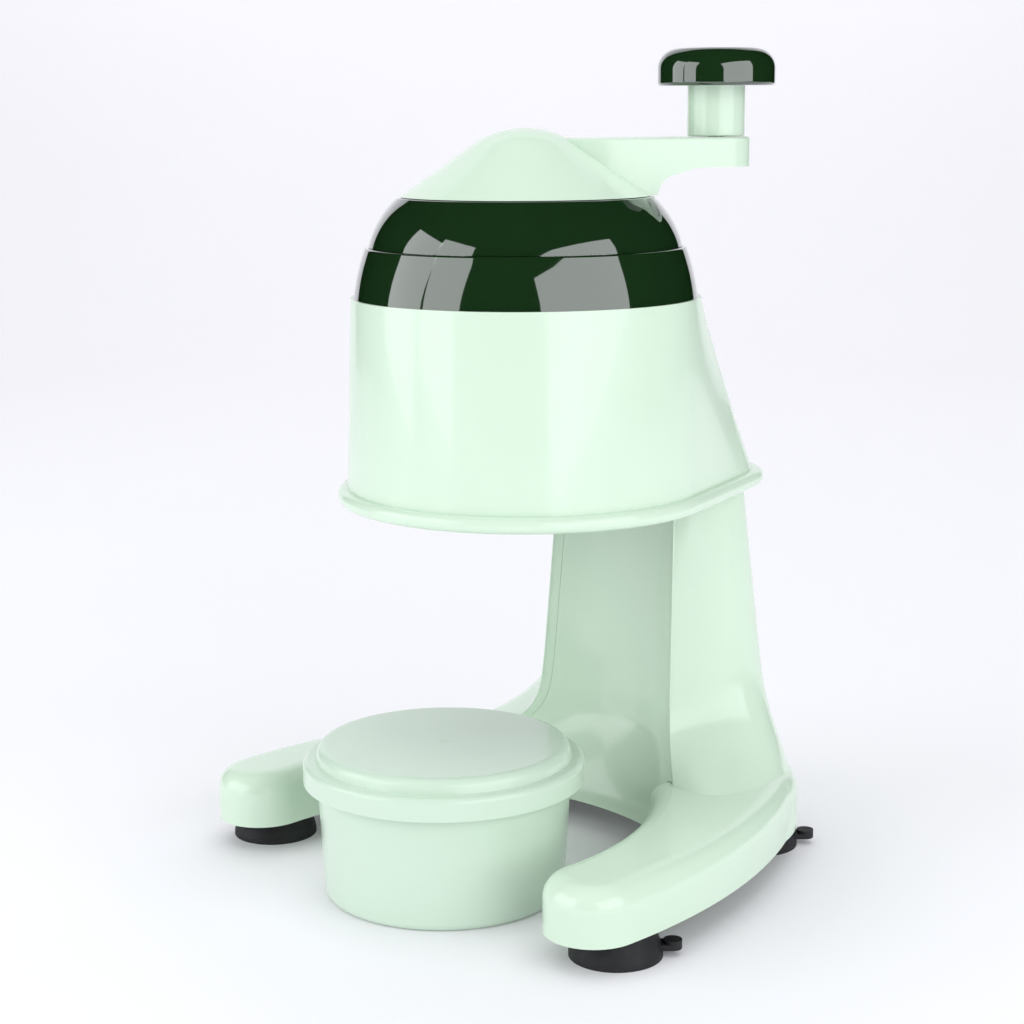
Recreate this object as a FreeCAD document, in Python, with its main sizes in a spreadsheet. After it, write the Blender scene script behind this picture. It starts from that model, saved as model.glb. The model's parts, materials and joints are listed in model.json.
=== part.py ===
# Hand cranked ice shaver: a horseshoe stand on suction cups, a drum that holds the ice and
# the blade, a lid with the crank and the sprung ice gripper, and a loose ice box with its lid.
# Lengths are millimetres. +Z is up, the table is z = 0, the open side of the stand faces -Y,
# and the origin lies under the middle of the footprint.
import FreeCAD
import Part
import Sketcher
import math
import os

SIZES = [
    ("drum_axis_y", -2.4, "drum axis, seen from the middle of the footprint"),
    ("wall", 3.0, "wall of the stand and the drum mouldings"),
    ("running_gap", 0.05, "radial clearance of a running fit"),
    ("slide_gap", 0.3, "clearance between pieces that move past each other"),
    ("joint_gap", 0.15, "gap between two mouldings of the stand"),
    ("foot_height", 11.0, "underside of the stand above the table"),
    ("leg_height", 22.0, "height of a leg"),
    ("leg_round", 9.0, "rounding of a leg's upper edges"),
    ("leg_outer_half", 113.0, "half the width over both legs"),
    ("leg_width", 37.0, "width of a leg at its tip"),
    ("leg_tip_reach", 83.0, "tips of the legs in front of the drum axis"),
    ("base_back_reach", 112.0, "back of the base behind the drum axis"),
    ("column_rise", 42.0, "top of the column above the drum's bead"),
    ("column_flare_height", 74.0, "height over which the column's sides and back flare into the base"),
    ("hollow_flare_height", 38.0, "height over which the column's hollow front flares out"),
    ("saddle_height", 36.0, "middle of the sweep from the legs' tops up to the column"),
    ("saddle_softness", 5.5, "height scale of that sweep"),
    ("column_corner_radius", 20.0, "radius of the column's back corners under the drum"),
    ("ridge_half", 32.5, "half the column's width at its front edges, under the drum"),
    ("ridge_reach", 54.5, "front edges of the column behind the drum axis, under the drum"),
    ("hollow_depth", 12.0, "depth of the column's hollow front, under the drum"),
    ("lip_width", 3.5, "edge of the column beside the front panel"),
    ("panel_wall", 2.5, "wall of the front panel"),
    ("cover_wall", 2.5, "thickness of the base cover"),
    ("cup_side_inset", 15.3, "front suction cups inwards of the legs' outer sides"),
    ("cup_tip_inset", 27.4, "front suction cups behind the legs' tips"),
    ("cup_rear_half", 61.6, "rear suction cups beside the middle"),
    ("cup_back_inset", 37.3, "rear suction cups in front of the base's back"),
    ("cup_radius", 17.5, "radius of a suction cup's rim"),
    ("cup_neck_radius", 5.0, "radius of a suction cup's neck"),
    ("tab_width", 7.0, "width of a suction cup's pull tab"),
    ("screw_radius", 1.5, "radius of the small screws"),
    ("screw_head_radius", 2.9, "radius of their heads"),
    ("screw_head_height", 1.7, "height of their heads"),
    ("boss_radius", 4.0, "radius of the screw bosses"),
    ("drum_bottom_height", 154.0, "bead of the drum above the table"),
    ("drum_top_height", 232.9, "upper rim of the drum above the table"),
    ("drum_bottom_radius", 72.2, "outer radius of the drum at the bead"),
    ("drum_top_radius", 69.6, "outer radius of the drum at its upper rim"),
    ("bead_radius", 3.2, "radius of the bead's round section"),
    ("hood_corner_half", 21.9, "centres of the hood's back corners beside the middle"),
    ("hood_corner_reach", 72.2, "centres of the hood's back corners behind the drum axis"),
    ("hood_corner_radius", 30.0, "radius of the hood's back corners at the bead"),
    ("collar_height", 19.7, "height of the hopper's collar"),
    ("collar_bottom_radius", 68.4, "radius of the collar at the drum"),
    ("collar_top_radius", 63.6, "radius of the collar at the lid"),
    ("hopper_radius", 57.0, "outer radius of the hopper's well"),
    ("spike_clearance", 7.0, "lowest place of the spikes above the hopper's floor"),
    ("hopper_wall", 2.5, "wall of the hopper"),
    ("hopper_floor", 4.0, "thickness of the hopper's floor"),
    ("outlet_width", 9.0, "width of the slot that the shaved ice falls through"),
    ("blade_length", 42.0, "length of the blade"),
    ("blade_width", 14.0, "width of the blade"),
    ("blade_thickness", 1.0, "thickness of the blade"),
    ("lid_height", 19.4, "height of the lid"),
    ("lid_bottom_radius", 62.2, "radius of the lid at the collar"),
    ("lid_top_radius", 50.6, "radius of the lid under the crank"),
    ("lid_crown_radius", 38.0, "radius of curvature of the lid's flank"),
    ("lid_wall", 2.5, "wall of the lid"),
    ("spigot_height", 6.0, "height of the lid's spigot inside the collar"),
    ("bush_radius", 15.0, "outer radius of the lid bush"),
    ("hub_radius", 11.5, "outer radius of the crank hub"),
    ("hub_length", 36.0, "length of the crank hub below the crank"),
    ("hub_flange_radius", 18.5, "radius of the collar that keeps the hub under the lid"),
    ("shaft_width", 9.0, "width across the flats of the square drive shaft"),
    ("shaft_length", 61.0, "length of the drive shaft"),
    ("feed_travel", 42.0, "travel of the ice gripper"),
    ("gripper_radius", 46.0, "radius of the gripper disc"),
    ("gripper_thickness", 4.0, "thickness of the gripper disc"),
    ("gripper_boss_height", 6.0, "height of the boss on the gripper disc"),
    ("spike_length", 7.0, "length of the gripper's spikes"),
    ("spring_radius", 14.5, "mean radius of the feed spring"),
    ("spring_wire_radius", 0.8, "radius of the feed spring's wire"),
    ("spring_turns", 9, "turns of the feed spring"),
    ("dome_radius", 49.3, "radius of the crank's dome at the lid"),
    ("dome_height", 26.2, "height of the crank's dome"),
    ("dome_nose_radius", 34.0, "radius of the dome's rounded top"),
    ("dome_slope", 34.6, "slope of the dome's flank in degrees"),
    ("dome_wall", 3.0, "wall of the crank's dome"),
    ("arm_angle", 58.8, "direction of the crank arm at rest, from +X towards +Y"),
    ("arm_length", 79.4, "drum axis to the grip's axis"),
    ("arm_drop", 4.0, "flat top of the crank arm below the dome's top"),
    ("arm_end_radius", 13.6, "radius of the arm's end"),
    ("arm_end_thickness", 11.8, "thickness of the arm at its end"),
    ("arm_belly_half", 18.2, "half the arm's greatest width"),
    ("arm_belly_reach", 43.0, "place of that width along the arm"),
    ("grip_pin_radius", 3.0, "radius of the grip pin"),
    ("stem_radius", 11.5, "radius of the grip's stem"),
    ("stem_height", 19.6, "height of the grip's stem"),
    ("knob_radius", 23.5, "radius of the grip's knob"),
    ("knob_height", 15.6, "height of the grip's knob"),
    ("knob_round", 8.0, "rounding of the knob's upper edge"),
    ("box_across", 3.4, "ice box beside the middle, as it stands"),
    ("box_reach", 51.5, "ice box in front of the drum axis, as it stands"),
    ("box_bottom_radius", 47.6, "radius of the ice box at the table"),
    ("box_top_radius", 50.4, "radius of the ice box at its rim"),
    ("box_height", 53.0, "height of the ice box without its lid"),
    ("box_wall", 2.0, "wall of the ice box"),
    ("box_lid_radius", 55.6, "radius of the ice box lid"),
    ("box_lid_skirt", 9.0, "height of the lid's band"),
    ("box_lid_rise", 5.5, "height of the lid's raised middle"),
    ("box_lid_raised_radius", 49.5, "radius of the lid's raised middle"),
]


def open_sheet(document):
    """Put the driving dimensions in a spreadsheet, one named cell each."""
    sheet = document.addObject("Spreadsheet::Sheet", "Sizes")
    for row, (alias, value, meaning) in enumerate(SIZES, start=1):
        sheet.set(f"A{row}", meaning)
        sheet.set(f"B{row}", str(value))
        sheet.setAlias(f"B{row}", alias)
    document.recompute()
    return sheet


DOC = FreeCAD.newDocument("ice_shaver")
SHEET = open_sheet(DOC)
PIECES = []


class Size:
    """A length that knows both its number and the sheet formula that gives it."""

    def __init__(self, value, formula):
        self.value = float(value)
        self.formula = formula

    def joined(self, other, sign, value, swap=False):
        text = other.formula if isinstance(other, Size) else repr(float(other))
        first, second = (text, self.formula) if swap else (self.formula, text)
        return Size(value, f"({first} {sign} {second})")

    def __add__(self, other):
        return self.joined(other, "+", self.value + number(other))

    def __radd__(self, other):
        return self.joined(other, "+", number(other) + self.value, swap=True)

    def __sub__(self, other):
        return self.joined(other, "-", self.value - number(other))

    def __rsub__(self, other):
        return self.joined(other, "-", number(other) - self.value, swap=True)

    def __mul__(self, other):
        return self.joined(other, "*", self.value * number(other))

    def __rmul__(self, other):
        return self.joined(other, "*", number(other) * self.value, swap=True)

    def __truediv__(self, other):
        return self.joined(other, "/", self.value / number(other))

    def __neg__(self):
        return Size(-self.value, f"(0 - {self.formula})")


def number(size):
    """The plain number of a Size, or the number itself."""
    return size.value if isinstance(size, Size) else float(size)


def bind(thing, path, size):
    """Bind one property or constraint to the sheet, or set it where it is a plain number."""
    if isinstance(size, Size):
        thing.setExpression(path, size.formula)
    else:
        thing.setExpression(path, repr(float(size)))


class Named:
    """Reads a cell of the sheet by its alias."""

    def __getattr__(self, alias):
        return Size(SHEET.get(alias), f"Sizes.{alias}")


S = Named()

LEG_TOP = S.foot_height + S.leg_height
LID_BOTTOM = S.drum_top_height + S.collar_height
LID_TOP = LID_BOTTOM + S.lid_height
DOME_BOTTOM = LID_TOP + S.slide_gap
ARM_TOP = DOME_BOTTOM + S.dome_height - S.arm_drop
STEM_BOTTOM = ARM_TOP + S.slide_gap
KNOB_BOTTOM = STEM_BOTTOM + S.stem_height
HUB_BOTTOM = DOME_BOTTOM - S.hub_length
GRIPPER_TOP = HUB_BOTTOM - S.slide_gap - S.feed_travel - S.gripper_boss_height
GRIPPER_BOTTOM = GRIPPER_TOP - S.gripper_thickness
FLOOR_TOP = GRIPPER_BOTTOM - S.spike_length - S.spike_clearance
FLOOR_BOTTOM = FLOOR_TOP - S.hopper_floor
LEG_INNER_HALF = S.leg_outer_half - S.leg_width
COLUMN_TOP = S.drum_bottom_height + S.column_rise


def place(thing, x=0.0, y=0.0, z=0.0):
    """Stand a piece at a point measured from the drum axis and the table."""
    bind(thing, "Placement.Base.x", x)
    bind(thing, "Placement.Base.y", S.drum_axis_y + y)
    bind(thing, "Placement.Base.z", z)
    return thing


def keep(thing, name):
    """Name a finished piece and put it on the list of those to write."""
    thing.Label = name
    PIECES.append(thing)
    return thing


def rod(name, radius, height, x=0.0, y=0.0, z=0.0, axis=None, angle=0.0):
    """Cylinder standing on a point, or turned about an axis through that point."""
    thing = DOC.addObject("Part::Cylinder", name)
    if axis:
        thing.Placement.Rotation = FreeCAD.Rotation(FreeCAD.Vector(*axis), angle)
    bind(thing, "Radius", radius)
    bind(thing, "Height", height)
    return place(thing, x, y, z)


def taper(name, bottom, top, height, x=0.0, y=0.0, z=0.0):
    """Cone standing on a point."""
    thing = DOC.addObject("Part::Cone", name)
    bind(thing, "Radius1", bottom)
    bind(thing, "Radius2", top)
    bind(thing, "Height", height)
    return place(thing, x, y, z)


def block(name, long, wide, high, x=0.0, y=0.0, z=0.0):
    """Box given by its lengths and its corner of least x, y and z."""
    thing = DOC.addObject("Part::Box", name)
    bind(thing, "Length", long)
    bind(thing, "Width", wide)
    bind(thing, "Height", high)
    return place(thing, x, y, z)


def hexagon(name, across, height, x=0.0, y=0.0, z=0.0):
    """Hexagonal prism given by the radius over its corners."""
    thing = DOC.addObject("Part::Prism", name)
    thing.Polygon = 6
    bind(thing, "Circumradius", across)
    bind(thing, "Height", height)
    return place(thing, x, y, z)


def joined(name, things):
    """One solid made of several."""
    thing = DOC.addObject("Part::MultiFuse", name)
    thing.Shapes = things
    return thing


def grouped(name, things):
    """Separate solids that share one node."""
    thing = DOC.addObject("Part::Compound", name)
    thing.Links = things
    return thing


def cut(name, base, tools):
    """A solid with one or more tools taken away."""
    thing = DOC.addObject("Part::Cut", name)
    thing.Base = base
    thing.Tool = tools[0] if len(tools) == 1 else joined(name + "_tools", tools)
    return thing


def carved(name, shape):
    """A free form whose shape is worked out from the sheet by this file."""
    thing = DOC.addObject("Part::Feature", name)
    thing.Shape = shape
    return place(thing)


def turned(name, corners, rounds=(), bends=None):
    """Body turned about the drum axis from an outline of (across, up) corners.

    rounds holds (radius, across, up) for the ring edges to round, and bends gives the
    edge after a corner a radius, which is negative where the edge bulges inwards.
    """
    body = DOC.addObject("PartDesign::Body", name + "_body")
    plane = next(f for f in body.Origin.OriginFeatures if f.Role == "XZ_Plane")
    sketch = body.newObject("Sketcher::SketchObject", name + "_outline")
    sketch.AttachmentSupport = [(plane, "")]
    sketch.MapMode = "FlatFace"
    draw_outline(sketch, corners, bends or {})
    turn = body.newObject("PartDesign::Revolution", name + "_turn")
    turn.Profile = sketch
    turn.ReferenceAxis = (sketch, ["V_Axis"])
    turn.Angle = 360
    DOC.recompute()
    for count, (radius, across, up) in enumerate(rounds):
        before = body.Tip
        found = ring_edges(before.Shape, number(across), number(up))
        rounding = body.newObject("PartDesign::Fillet", f"{name}_round_{count}")
        rounding.Base = (before, found)
        bind(rounding, "Radius", radius)
        DOC.recompute()
    return place(body)


def ring_edges(shape, radius, height):
    """Names of the full or part circles about the axis with this radius and height."""
    names = []
    for count, edge in enumerate(shape.Edges, start=1):
        curve = edge.Curve
        if not isinstance(curve, Part.Circle):
            continue
        near = abs(curve.Radius - radius) < 0.02 and abs(curve.Center.z - height) < 0.02
        if near and math.hypot(curve.Center.x, curve.Center.y) < 0.02:
            names.append(f"Edge{count}")
    if not names:
        raise ValueError(f"no ring edge at radius {radius:.2f}, height {height:.2f}")
    return names


def draw_outline(sketch, corners, bends):
    """Closed outline whose every corner is tied to the sheet."""
    spots = [FreeCAD.Vector(number(x), number(y), 0) for x, y in corners]
    ends = []
    for count, start in enumerate(spots):
        stop = spots[(count + 1) % len(spots)]
        if count in bends:
            edge, swapped = bent_edge(start, stop, number(bends[count]))
            ends.append((2, 1) if swapped else (1, 2))
        else:
            edge = Part.LineSegment(start, stop)
            ends.append((1, 2))
        sketch.addGeometry(edge, False)
    for count in range(len(spots)):
        after = (count + 1) % len(spots)
        link = Sketcher.Constraint("Coincident", count, ends[count][1], after, ends[after][0])
        sketch.addConstraint(link)
    for count, (x, y) in enumerate(corners):
        for kind, size in (("DistanceX", x), ("DistanceY", y)):
            rule = Sketcher.Constraint(kind, -1, 1, count, ends[count][0], number(size))
            index = sketch.addConstraint(rule)
            if isinstance(size, Size):
                bind(sketch, f"Constraints[{index}]", size)
    for count, radius in bends.items():
        index = sketch.addConstraint(Sketcher.Constraint("Radius", count, abs(number(radius))))
        if isinstance(radius, Size) and radius.value > 0:
            bind(sketch, f"Constraints[{index}]", radius)


def bent_edge(start, stop, radius):
    """Arc between two corners; it bulges to the right of the way, or left if negative."""
    chord = stop - start
    half = chord.Length / 2
    side = 1 if radius > 0 else -1
    normal = FreeCAD.Vector(-chord.y, chord.x, 0).normalize() * side
    centre = (start + stop) * 0.5 + normal * math.sqrt(radius * radius - half * half)
    middle = centre - normal * abs(radius)
    arc = Part.Arc(start, middle, stop)
    circle = Part.Circle(centre, FreeCAD.Vector(0, 0, 1), abs(radius))
    first, last = circle.parameter(start), circle.parameter(stop)
    swapped = side < 0
    if swapped:
        first, last = last, first
    return Part.ArcOfCircle(circle, first, last if last > first else last + 2 * math.pi), swapped


def point(x, y, z=0.0):
    return FreeCAD.Vector(x, y, z)


def arc_edge(first, middle, last):
    return Part.Arc(first, middle, last).toShape()


def line_edge(first, last):
    return Part.LineSegment(first, last).toShape()


def bezier_edge(spots):
    curve = Part.BezierCurve()
    curve.setPoles(spots)
    return curve.toShape()


def mirrored(spot):
    return point(-spot.x, spot.y, spot.z)


def leg_outline(inset):
    """Outline of the two legs and the bridge behind the hollow, drawn in by an inset."""
    outer, inner = S.leg_outer_half.value, LEG_INNER_HALF.value
    reach, back = S.leg_tip_reach.value, S.base_back_reach.value
    tip_round = S.leg_width.value / 2

    def spot(across, behind, inset_across, inset_behind):
        return point(across + inset_across * inset, behind + inset_behind * inset)

    outer_end = spot(outer, tip_round - reach, -1, 0)
    tip_middle = spot(outer - tip_round, -reach, 0, 1)
    inner_end = spot(inner, tip_round - reach, 1, 0)
    waist = spot(0.951 * outer, 0.036 * back, -1, 0)
    side = spot(0.743 * outer, 0.6205 * back, -1, -1)
    corner = spot(0.584 * outer, 0.8527 * back, -1, -1)
    rear = spot(0.336 * outer, 0.9777 * back, -1, -1)
    middle = spot(0, back, 0, -1)
    bay = spot(0.888 * inner, -0.107 * back, 1, 0.5)
    heel = spot(0.526 * inner, 0.277 * back, 1, 0.5)
    notch = spot(0.526 * inner, 0.589 * back, 1, 1)
    right = [
        line_edge(notch, heel),
        arc_edge(heel, bay, inner_end),
        arc_edge(inner_end, tip_middle, outer_end),
        arc_edge(outer_end, waist, side),
        arc_edge(side, corner, rear),
    ]
    left = [
        arc_edge(mirrored(rear), mirrored(corner), mirrored(side)),
        arc_edge(mirrored(side), mirrored(waist), mirrored(outer_end)),
        arc_edge(mirrored(outer_end), mirrored(tip_middle), mirrored(inner_end)),
        arc_edge(mirrored(inner_end), mirrored(bay), mirrored(heel)),
        line_edge(mirrored(heel), mirrored(notch)),
    ]
    rear_edge = arc_edge(rear, middle, mirrored(rear))
    front_edge = line_edge(mirrored(notch), notch)
    return Part.Wire(right + [rear_edge] + left + [front_edge])


def leg_solid(inset, low, high, rounding):
    """Both legs as one slab between two heights, with rounded upper edges."""
    slab = Part.Face(leg_outline(inset)).extrude(point(0, 0, high - low))
    slab.translate(point(0, 0, low))
    edges = [edge for edge in slab.Edges if lies_at(edge, high)]
    return slab.makeFillet(rounding, edges) if rounding else slab


def lies_at(edge, height):
    """Whether an edge lies wholly at one height."""
    box = edge.BoundBox
    return abs(box.ZMin - height) < 0.01 and abs(box.ZMax - height) < 0.01


def blend(first, second, share):
    return first + (second - first) * share


def flare_share(height, reach):
    """How far the column has flared into the base: 0 well above it, 1 at its underside."""
    up = (height - S.foot_height.value) / reach
    return 0.5 * (1 + math.cos(math.pi * min(max(up, 0.0), 1.0)))


def saddle_share(height):
    """How far the column's front edges have swept out over the legs: 0 above, 1 below."""
    return 1 / (1 + math.exp((height - S.saddle_height.value) / S.saddle_softness.value))


def foot_spot(across, behind):
    """Point of the base, as shares of its half width and of its reach behind the axis."""
    return point(across * S.leg_outer_half.value, behind * S.base_back_reach.value)


class Column:
    """Points of the column's outline at one height, all measured from the drum axis."""

    def __init__(self, height):
        self.height = height
        span = S.drum_bottom_height.value - S.foot_height.value
        lean = (S.drum_bottom_height.value - height) / span
        flare = flare_share(height, S.column_flare_height.value) ** 2
        saddle = saddle_share(height)
        half, reach = S.ridge_half.value, S.ridge_reach.value
        ridge = point(half * (1 + 0.185 * lean), reach * (1 - 0.1835 * lean))
        centre = point(half * (0.79 + 0.317 * lean), reach * (1.395 + 0.165 * lean))
        radius = S.column_corner_radius.value * (1 + 0.1 * lean)
        side = centre + spoke(radius, -10)
        shoulder = (ridge + side) * 0.5 + spoke(0.09 * radius, -27)
        corner = centre + spoke(radius, 40)
        rear = centre + spoke(radius, 90)
        hollow = ridge.y + S.hollow_depth.value
        self.ridge = blend(ridge, foot_spot(0.549, 0.196), saddle)
        self.shoulder = blend(shoulder, foot_spot(0.779, 0.196), saddle)
        self.side = blend(side, foot_spot(0.796, 0.491), flare)
        self.corner = blend(corner, foot_spot(0.5805, 0.848), flare)
        self.rear = blend(rear, foot_spot(0.3345, 0.9714), flare)
        self.back = blend(point(0, rear.y + 0.05 * radius), foot_spot(0, 0.9946), flare)
        hollow_share = flare_share(height, S.hollow_flare_height.value)
        self.middle = blend(point(0, hollow), foot_spot(0, 0.3527), hollow_share)

    def outline(self):
        right = [self.ridge, self.shoulder, self.side, self.corner, self.rear]
        spots = right + [self.back] + [mirrored(spot) for spot in reversed(right)]
        return self.closed(spots, self.front(self.ridge.x))

    def core(self, inset):
        """The outline of the space inside the wall."""
        ridge = point(self.ridge.x - S.lip_width.value - 0.5, self.front_y(self.ridge.x) + inset)
        right = [
            ridge,
            self.shoulder + point(-0.82, 0.57) * inset,
            self.side + point(-0.97, -0.1) * inset,
            self.corner + point(-0.77, -0.64) * inset,
            self.rear + point(-0.1, -1) * inset,
        ]
        spots = right + [self.back + point(0, -inset)] + [mirrored(spot) for spot in reversed(right)]
        middle = self.middle + point(0, inset)
        return self.closed(spots, arc_edge(mirrored(ridge), middle, ridge))

    def closed(self, spots, front_edge):
        curve = Part.BSplineCurve()
        curve.interpolate(spots)
        wire = Part.Wire([front_edge, curve.toShape()])
        wire.translate(point(0, 0, self.height))
        return wire

    def front_y(self, across):
        """Where the hollow front lies at a place across the column."""
        sag = self.middle.y - self.ridge.y
        radius = (self.ridge.x ** 2 + sag ** 2) / (2 * sag)
        return self.middle.y - radius + math.sqrt(radius ** 2 - across ** 2)

    def front(self, half, shift=0.0):
        """The hollow front between two places at equal distances from the middle."""
        edge = point(half, self.front_y(half) + shift)
        return arc_edge(mirrored(edge), self.middle + point(0, shift), edge)

    def band(self, half, low, high):
        """A band along the hollow front, from one shift backwards to another."""
        first = self.front(half, low)
        last = self.front(half, high)
        right = line_edge(first.Vertexes[-1].Point, last.Vertexes[-1].Point)
        left = line_edge(last.Vertexes[0].Point, first.Vertexes[0].Point)
        wire = Part.Wire([first, right, last, left])
        wire.translate(point(0, 0, self.height))
        return wire


def spoke(radius, degrees):
    return point(radius * math.cos(math.radians(degrees)), radius * math.sin(math.radians(degrees)))


def column_loft(outline):
    """The column as a smooth flare up from the base and a straight length above it."""
    foot = S.foot_height.value
    step = S.column_flare_height.value / (FLARE_LEVELS - 1)
    flare = [outline(Column(foot + step * count)) for count in range(FLARE_LEVELS)]
    length = [flare[-1], outline(Column(COLUMN_TOP.value))]
    lower = Part.makeLoft(flare, True, False)
    upper = Part.makeLoft(length, True, True)
    return lower.fuse(upper)


FLARE_LEVELS = 14


def hood_outline(inset, grow=0.0):
    """Outline of the drum at its bead: round in front, drawn out over the column behind."""
    radius = S.drum_bottom_radius.value - inset + grow
    corner_radius = S.hood_corner_radius.value - inset + grow
    centre = point(S.hood_corner_half.value, S.hood_corner_reach.value)
    lean = hood_lean()
    start = spoke(radius, lean)
    side = centre + spoke(corner_radius, lean)
    corner = centre + spoke(corner_radius, (lean + 90) / 2)
    rear = centre + spoke(corner_radius, 90)
    return [start, side, corner, rear, radius]


def hood_lean():
    """Direction, in degrees, in which the hood's straight sides face."""
    across = S.hood_corner_half.value
    reach = S.hood_corner_reach.value
    away = math.hypot(across, reach)
    spare = S.drum_bottom_radius.value - S.hood_corner_radius.value
    return math.degrees(math.atan2(reach, across) - math.acos(spare / away))


def hood_bottom(inset, grow=0.0):
    start, side, corner, rear, radius = hood_outline(inset, grow)
    return Part.Wire([
        arc_edge(mirrored(start), point(0, -radius), start),
        line_edge(start, side),
        arc_edge(side, corner, rear),
        line_edge(rear, mirrored(rear)),
        arc_edge(mirrored(rear), mirrored(corner), mirrored(side)),
        line_edge(mirrored(side), mirrored(start)),
    ])


def hood_top(inset):
    """The drum's upper outline, a circle cut where the lower outline changes."""
    radius = S.drum_top_radius.value - inset
    turns = [180 - hood_lean(), 360 + hood_lean(), 390 + hood_lean(), 437, 463, 510 - hood_lean()]
    turns.append(turns[0] + 360)
    edges = []
    for first, last in zip(turns, turns[1:]):
        edges.append(arc_edge(spoke(radius, first), spoke(radius, (first + last) / 2), spoke(radius, last)))
    wire = Part.Wire(edges)
    wire.translate(point(0, 0, S.drum_top_height.value))
    return wire


def hood_solid(inset, below=0.0):
    """The drum's outside, or the space inside it, with a straight part below the bead."""
    bottom = hood_bottom(inset)
    bottom.translate(point(0, 0, S.drum_bottom_height.value))
    upper = Part.makeLoft([bottom, hood_top(inset)], True, True)
    if not below:
        return upper
    skirt = Part.Face(bottom).extrude(point(0, 0, -below))
    return upper.fuse(skirt)


def make_stand():
    """The stand's outer moulding, its front panel and the cover under it."""
    low, high = S.foot_height.value, LEG_TOP.value
    wall = S.wall.value
    column = clipped_column(column_loft(Column.outline), wall + S.joint_gap.value)
    inside = clipped_column(column_loft(lambda at: at.core(wall)), 2 * wall + S.joint_gap.value)
    top = slab_between(COLUMN_TOP.value - wall, COLUMN_TOP.value + 20)
    inside = inside.cut(top)
    legs = leg_solid(0, low, high, S.leg_round.value)
    leg_space = leg_solid(wall, low, high - wall, S.leg_round.value - wall).cut(behind_ridges(0))
    outside = legs.fuse(column).removeSplitter()
    half = S.lip_width.value
    opening = column_loft(lambda at: at.band(at.ridge.x - half, -4, wall + 1)).cut(top).cut(legs)
    shell = outside.cut(leg_space.fuse(inside)).cut(opening)
    panel = column_loft(lambda at: at.band(at.ridge.x - half - S.joint_gap.value, 0, S.panel_wall.value))
    gap = S.joint_gap.value
    grown_legs = leg_solid(-gap, low - 1, high + gap, S.leg_round.value + gap)
    return shell, panel.cut(top).cut(grown_legs)


def slab_between(low, high):
    """A block wider than the stand between two heights."""
    wide = 4 * S.leg_outer_half.value
    return Part.makeBox(wide, wide, high - low, point(-wide / 2, -wide / 2, low))


def behind_ridges(gap):
    """Everything behind the column's front edges, where the column's own hollow takes over."""
    slab = slab_between(0, COLUMN_TOP.value)
    slab.translate(point(0, 2 * S.leg_outer_half.value + S.ridge_reach.value - gap, 0))
    return slab


def clipped_column(column, inset):
    """The column with its upper end fitted to the space inside the drum's hood."""
    low = S.drum_bottom_height.value - S.bead_radius.value
    high = S.drum_top_height.value
    return column.cut(slab_between(low, high).cut(hood_solid(inset, S.bead_radius.value)))


# Screws that hold the panel, the cover and the drum, by place: (across, behind the axis).
PANEL_SCREW_HEIGHTS = (COLUMN_TOP * 0.372, COLUMN_TOP * 0.658)
CUP_FRONT = (S.leg_outer_half - S.cup_side_inset, S.cup_tip_inset - S.leg_tip_reach)
CUP_REAR = (S.cup_rear_half, S.base_back_reach - S.cup_back_inset)
CUP_PLACES = {
    "front_left": (-CUP_FRONT[0], CUP_FRONT[1]),
    "front_right": CUP_FRONT,
    "rear_left": (-CUP_REAR[0], CUP_REAR[1]),
    "rear_right": CUP_REAR,
}
COVER_SCREWS = (
    (CUP_FRONT[0] - 0.2 * S.cup_radius, CUP_FRONT[1] + 1.25 * S.cup_radius),
    (S.leg_outer_half * 0.761, S.base_back_reach * 0.268),
    (S.leg_outer_half * 0.177, S.base_back_reach - S.wall - S.boss_radius),
)
DRUM_SCREW = (S.ridge_half * 0.615, S.ridge_reach * 1.349)
COVER_BOTTOM = S.foot_height + 0.5
COVER_TOP = COVER_BOTTOM + S.cover_wall
COLUMN_CEILING = COLUMN_TOP - S.wall


def both_sides(place_across):
    return (-place_across, place_across)


def cover_screw_places():
    return [(side, y) for x, y in COVER_SCREWS for side in both_sides(x)]


def make_stand_body(stand_shell):
    """Column and legs in one thin moulding, with the bosses that its screws bite into."""
    shell = carved("stand_shell", stand_shell)
    posts = []
    for count, (x, y) in enumerate(cover_screw_places()):
        height = LEG_TOP - S.wall / 2 - COVER_TOP
        post = rod(f"cover_boss_{count}", S.boss_radius, height, x, y, COVER_TOP)
        posts.append(post)
    body = joined("stand_with_bosses", [shell] + posts)
    holes = []
    for count, (x, y) in enumerate(cover_screw_places()):
        holes.append(rod(f"cover_boss_hole_{count}", S.screw_radius, 12.0, x, y, COVER_TOP - 1))
    for count, x in enumerate(both_sides(DRUM_SCREW[0])):
        low = COLUMN_CEILING - 1
        holes.append(rod(f"ceiling_hole_{count}", S.screw_radius + 0.2, S.wall + 2, x, DRUM_SCREW[1], low))
    for count, z in enumerate(PANEL_SCREW_HEIGHTS):
        y = S.base_back_reach + 5
        hole = rod(f"back_hole_{count}", S.screw_radius + 0.2, 30.0, 0, y, z, (1, 0, 0), 90)
        holes.append(hole)
    keep(cut("stand_body", body, holes), "stand_body")


def panel_boss_end(height):
    """Where the inner face of the column's back lies at a height."""
    return Column(height).back.y - S.wall.value


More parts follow.
